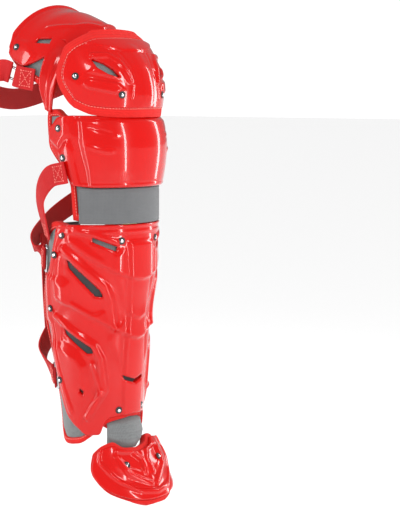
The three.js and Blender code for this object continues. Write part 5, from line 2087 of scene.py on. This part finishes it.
@dataclass
class Straps(SubAssembly):
    """Webbing, loops, hooks, slides, the calf harness and its label."""

    loop: Place = (30.0, 13.0)
    hook: Place = (22.0, 16.0)
    slide: Place = (34.0, 24.0)

    def on(self, wrap: Wrap, turn: float, up: float, lift: float) -> Stop:
        """A stop on a wrap."""
        return Stop(tuple(wrap.point(turn, up, lift)), tuple(wrap.facing(turn, up)))

    def behind(self, wrap: Wrap, axis: float, x: float, y: float, up: float, out: tuple,
               wide: float = LAYERS.webbing) -> Stop:
        """A stop behind the leg, its x and y as shares of the wrap's radius."""
        own = np.array([x * wrap.radius, axis + y * wrap.radius, wrap.bottom + up * wrap.height])
        return Stop(tuple(own @ wrap.turned.T + wrap.moved),
                    tuple(unit(np.array(out, float)) @ wrap.turned.T), wide)

    def loop_on(self, name: str, wrap: Wrap, turn: float, up: float, lift: float, size: Place,
                finish: Finishes) -> None:
        """A wire loop or hook on a wrap, standing for its node.

        Args:
            name: the object's name.
            wrap: what it lies on.
            turn: place round the leg.
            up: place up the wrap.
            lift: how far out.
            size: width and length.
            finish: its finish.
        """
        piece = wire_loop(f"{name}_wire", wrap.point(turn, up, lift), wrap.facing(turn, up),
                          wrap.heading(turn, up, 90), size[0], size[1], LAYERS.wire, finish)
        dress(piece, finish, name)

    def slide_on(self, name: str, route: Route, share: float, finish: Finishes) -> None:
        """A slide on a strap, standing for its node.

        Args:
            name: the object's name.
            route: the strap's route.
            share: share of the route.
            finish: its finish.
        """
        at, along, out = route.frame(share)
        lift = LAYERS.web_thick / 2 + LAYERS.hardware + 1.5
        piece = slide_piece(f"{name}_frame", at + out * lift, along, out, self.slide, 4.0, 3.0, finish)
        dress(piece, finish, name)

    def tacks(self, routes: Sequence[Route]) -> None:
        """A sewn box with a cross at both ends of each strap.

        Args:
            routes: the straps' routes.
        """
        points, facing, edges = [], [], []
        for route in routes:
            path, _, wides = route.sample(240)
            run = running(path)
            for spot in (10.5, run[-1] - 10.5):
                k = int(np.searchsorted(run, spot))
                at, along, out = route.frame(k / 239)
                across = np.cross(along, out)
                half = wides[k] / 2 - 4
                start = len(points)
                points += [at + out * (LAYERS.web_thick / 2 + 0.25) + across * x * half + along * y * 6.5
                           for x, y in ((-1, -1), (1, -1), (1, 1), (-1, 1))]
                facing += [out] * 4
                edges += [(start + i, start + j) for i, j in ((0, 1), (1, 2), (2, 3), (3, 0), (0, 2), (1, 3))]
        base = marked("strap_seams", np.array(points), np.array(facing), np.array(facing), edges)
        stitches = self.repeats.run("strap_stitches", self.repeats.along, base, stitch_shape(2.2, 0.7),
                                    Finishes.THREAD, 2.9)
        dress(stitches, Finishes.THREAD)

    def build(self) -> None:
        """All straps and their hardware."""
        g, wide = self.guard, LAYERS
        drop = -0.6

        def at_thigh(x: float, y: float, up: float, out: tuple) -> Stop:
            """A stop behind the thigh."""
            return self.behind(g.thigh, -23.8, x, y, up, out)

        thigh = Route([
            self.on(g.thigh, -0.98, 0.34, wide.pad_strap + drop),
            self.on(g.thigh, -1.02, 0.6, wide.pad_over + drop),
            self.on(g.thigh, -1.03, 0.86, wide.pad_over + drop),
            at_thigh(-1.09, 0.14, 0.97, (-0.9, 0.1, 0.3)),
            at_thigh(-0.95, 0.46, 1.12, (-0.5, 0.3, 0.8)), at_thigh(-0.33, 0.62, 1.16, (0, 0.34, 0.94)),
            at_thigh(0.33, 0.5, 1.18, (0, 0.34, 0.94)), at_thigh(0.86, 0.3, 1.15, (0.4, 0.3, 0.85)),
            at_thigh(1.1, 0.12, 0.98, (0.9, 0.1, 0.3)), self.on(g.thigh, 1.03, 0.86, wide.pad_over + drop),
            self.on(g.thigh, 1.02, 0.6, wide.pad_over + drop)])
        loops = [g.thigh.point(turn, 0.7, wide.pad_loop + drop) for turn in (-1.02, 1.02)]
        dress(strap_piece("thigh_webbing", thigh, 61, loops), Finishes.WEBBING, "thigh_strap")
        self.loop_on("thigh_loop", g.thigh, -1.02, 0.7, wide.pad_loop + drop, self.loop, Finishes.BRIGHT)
        self.loop_on("thigh_hook", g.thigh, 1.02, 0.7, wide.pad_loop + drop, self.hook, Finishes.BRIGHT)

        def at_shin(x: float, y: float, up: float, out: tuple, width: float = wide.webbing) -> Stop:
            """A stop behind the shin."""
            return self.behind(g.shin, 0.0, x, y, up, out, width)

        knee = Route([
            self.on(g.knee, 0.9, 0.395, wide.plate_over), self.on(g.knee, 1.3, 0.37, wide.plate_over),
            at_shin(0.87, 0.62, 1.16, (0.8, 0.6, 0)), at_shin(0.45, 1.02, 1.07, (0.4, 0.9, 0.1)),
            at_shin(-0.08, 1.12, 0.98, (0, 1, 0.1)), at_shin(-0.6, 0.98, 0.88, (-0.5, 0.85, 0)),
            self.on(g.shin, -1.74, 0.845, wide.pad_over), self.on(g.shin, -1.57, 0.835, wide.pad_over),
            self.on(g.shin, -1.4, 0.83, wide.pad_over)])
        loops = [g.shin.point(-1.5, 0.83, wide.pad_loop)]
        dress(strap_piece("knee_webbing", knee, 63, loops), Finishes.WEBBING, "knee_strap")
        self.loop_on("knee_hook", g.knee, 0.9, 0.395, wide.plate_loop, self.hook, Finishes.DARK)
        self.slide_on("knee_slide", knee, 0.26, Finishes.SLIDE_BLACK)
        self.loop_on("wing_loop_high", g.shin, -1.5, 0.83, wide.pad_loop, self.loop, Finishes.BRIGHT)
        side = Route([
            self.on(g.knee, -0.93, 0.42, wide.plate_over), self.on(g.knee, -1.25, 0.37, wide.plate_over),
            at_shin(-0.98, 0.4, 1.12, (-0.9, 0.4, 0)), self.on(g.shin, -1.4, 0.93, wide.pad_strap)])
        dress(strap_piece("side_webbing", side, 65), Finishes.WEBBING, "side_strap")
        back = 1.04
        panel = Route([
            at_shin(0, back, 0.93, (0, 1, 0), 50), at_shin(0, back, 0.76, (0, 1, 0), 47.5),
            at_shin(0, back, 0.6, (0, 1, 0), 44), at_shin(0, 0.98 * back, 0.43, (0, 1, -0.1), 40)])
        upper = Route([
            at_shin(0.2, back, 0.9, (0, 1, 0)), at_shin(0.5, 1.0, 0.9, (0.3, 0.95, 0)),
            self.on(g.shin, 1.74, 0.9, wide.pad_over), self.on(g.shin, 1.56, 0.9, wide.pad_over),
            self.on(g.shin, 1.38, 0.9, wide.pad_over)])

        def lower(sign: int) -> Route:
            """A lower arm of the harness.

            Args:
                sign: -1 or 1.

            Returns:
                The route.
            """
            return Route([
                at_shin(sign * 0.08, 0.98 * back, 0.46, (0, 1, -0.1)),
                at_shin(sign * 0.42, 0.96, 0.355, (sign * 0.35, 0.9, -0.1)),
                self.on(g.shin, sign * 1.58, 0.275, wide.pad_over),
                self.on(g.shin, sign * 1.46, 0.265, wide.pad_over),
                self.on(g.shin, sign * 1.34, 0.255, wide.pad_over)])

        ends = [g.shin.point(turn, up, wide.pad_loop)
                for turn, up in ((1.46, 0.9), (1.44, 0.26), (-1.44, 0.26))]
        parts = [strap_piece(f"harness_{k}", route, 70 + k, ends[k - 1:k])
                 for k, route in enumerate((panel, upper, lower(1), lower(-1)))]
        dress(joined("calf_harness_webbing", parts), Finishes.WEBBING, "calf_harness")
        self.loop_on("wing_hook_high", g.shin, 1.46, 0.9, wide.pad_loop, self.hook, Finishes.DARK)
        self.loop_on("wing_hook_low", g.shin, 1.44, 0.26, wide.pad_loop, self.hook, Finishes.DARK)
        self.loop_on("wing_loop_low", g.shin, -1.44, 0.26, wide.pad_loop, self.loop, Finishes.BRIGHT)
        self.slide_on("harness_slide_high", upper, 0.17, Finishes.SLIDE_BLACK)
        self.slide_on("harness_slide_low", lower(1), 0.18, Finishes.SLIDE_WHITE)
        self.tacks((thigh, knee, side, upper, lower(1), lower(-1)))
        self.label()

    def label(self) -> None:
        """The white label on the harness, bare but for its sewn border."""
        width, height, deep = 25.0, 36.0, 0.8
        y = 1.04 * 69 + LAYERS.web_thick / 2 + LAYERS.hardware + deep / 2 + self.guard.seat
        z = SHIN_BOTTOM + 0.65 * SHIN_HEIGHT
        xs, zs = np.meshgrid(np.linspace(-0.5, 0.5, 40), np.linspace(-0.5, 0.5, 56))
        edge = np.minimum((0.5 - np.abs(xs)) * width, (0.5 - np.abs(zs)) * height)
        fall = 0.35 * rounded(edge, 0.8) + 0.15 * np.exp(-((edge - 2.2) / 0.4) ** 2)
        outer = np.stack([xs * width, y + deep / 2 - fall, z + zs * height], axis=-1)
        inner = np.stack([xs * width, np.full_like(xs, y - deep / 2), z + zs * height], axis=-1)
        piece = wall_piece("label_cloth", outer, inner, Finishes.LABEL)
        give_map(piece, np.vstack([outer.reshape(-1, 3), inner.reshape(-1, 3)])[:, [0, 2]])
        dress(piece, Finishes.LABEL, "label")
        corners = np.array([(x * (width / 2 - 1.6), y + deep / 2 + 0.1, z + up * (height / 2 - 1.6))
                            for x, up in ((-1, -1), (1, -1), (1, 1), (-1, 1))])
        out = np.tile((0.0, 1.0, 0.0), (4, 1))
        base = marked("label_seam", corners, out, out, [(0, 1), (1, 2), (2, 3), (3, 0)])
        stitches = self.repeats.run("label_stitches", self.repeats.along, base, stitch_shape(1.6, 0.5),
                                    Finishes.BADGE, 2.3)
        dress(stitches, Finishes.BADGE)


# Studio


@dataclass
class Studio:
    """Pale floor, soft lights and the camera at the photograph's angle."""

    azimuth: float = -50.0
    elevation: float = 6.4
    distance: float = 1.7
    field: float = 19.9
    aim: tuple[float, float, float] = (75.9, -51.1, 64.0)
    ambient: float = 1.1
    mirrored: float = 0.3

    def direction(self, azimuth: float, elevation: float) -> Vector:
        """The direction from the guard to a place round it, from two angles in degrees."""
        a, e = math.radians(azimuth), math.radians(elevation)
        return Vector((math.sin(a) * math.cos(e), -math.cos(a) * math.cos(e), math.sin(e)))

    def camera(self) -> None:
        """The camera."""
        data = bpy.data.cameras.new("camera")
        data.sensor_width = 36.0
        data.lens = 18.0 / math.tan(math.radians(self.field / 2))
        data.clip_start = 0.05
        piece = bpy.data.objects.new("camera", data)
        bpy.context.scene.collection.objects.link(piece)
        back = self.direction(self.azimuth, self.elevation)
        piece.location = Vector(self.aim) * MM + back * self.distance
        piece.rotation_mode = "QUATERNION"
        piece.rotation_quaternion = (-back).to_track_quat("-Z", "Y")
        bpy.context.scene.camera = piece

    def light(self, name: str, azimuth: float, elevation: float, distance: float, size: Place,
              power: float) -> None:
        """One soft light, aimed at the middle of the guard.

        Args:
            name: the object's name.
            azimuth: degrees.
            elevation: degrees.
            distance: metres.
            size: width and height, in metres.
            power: watts.
        """
        data = bpy.data.lights.new(name, "AREA")
        data.shape = "RECTANGLE"
        data.size, data.size_y = size
        data.energy = power
        piece = bpy.data.objects.new(name, data)
        bpy.context.scene.collection.objects.link(piece)
        back = self.direction(azimuth, elevation)
        piece.location = Vector((0, 0.02, 0.05)) + back * distance
        piece.rotation_mode = "QUATERNION"
        piece.rotation_quaternion = back.to_track_quat("Z", "Y")

    def build(self) -> None:
        """Camera, floor, world and lights."""
        self.camera()
        reach, low = 30000, -420
        floor = make_object("floor", np.array([[x * reach, y * reach, low] for x, y in
                                               ((-1, -1), (1, -1), (1, 1), (-1, 1))], float), [[0, 1, 2, 3]],
                            [Finish("pale_floor", (0.9,) * 3, (0.89,) * 3, 0.9, depth=0.02).material()])
        world = bpy.data.worlds.new("studio")
        bpy.context.scene.world = world
        world.use_nodes = True
        tree = world.node_tree
        sky = next(node for node in tree.nodes if node.bl_idname == "ShaderNodeBackground")
        sky.inputs["Color"].default_value = (1, 1, 1, 1)
        seen = add_node(tree, "ShaderNodeLightPath", {}).outputs["Is Glossy Ray"]
        strength = calc(tree, "MULTIPLY_ADD", seen, self.mirrored - self.ambient, self.ambient)
        tree.links.new(strength, sky.inputs["Strength"])
        self.light("left", -126, 8, 1.6, (0.22, 1.7), 12)
        self.light("front", -3, 10, 1.7, (0.1, 1.6), 14)
        self.light("right", 72, 14, 1.7, (0.18, 1.5), 9)
        self.light("glow", -58, 34, 1.7, (0.26, 0.4), 6)
        self.light("back", 165, 30, 1.8, (0.6, 1.0), 3)
        bpy.context.scene.view_settings.view_transform = "Standard"


def main() -> None:
    """Builds the guard's looks round the frame."""
    logging.basicConfig(level=logging.INFO, format="%(name)s %(message)s")
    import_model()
    Studio().build()
    kit = Guard(), Rivets(), Repeats()
    for part in (ShinGuard, KneeGuard, InsideKnee, KneeCap, ThighGuard, ToeGuard, Straps):
        part(*kit).build()
    kit[1].build(kit[2])


if __name__ == "__main__":
    main()
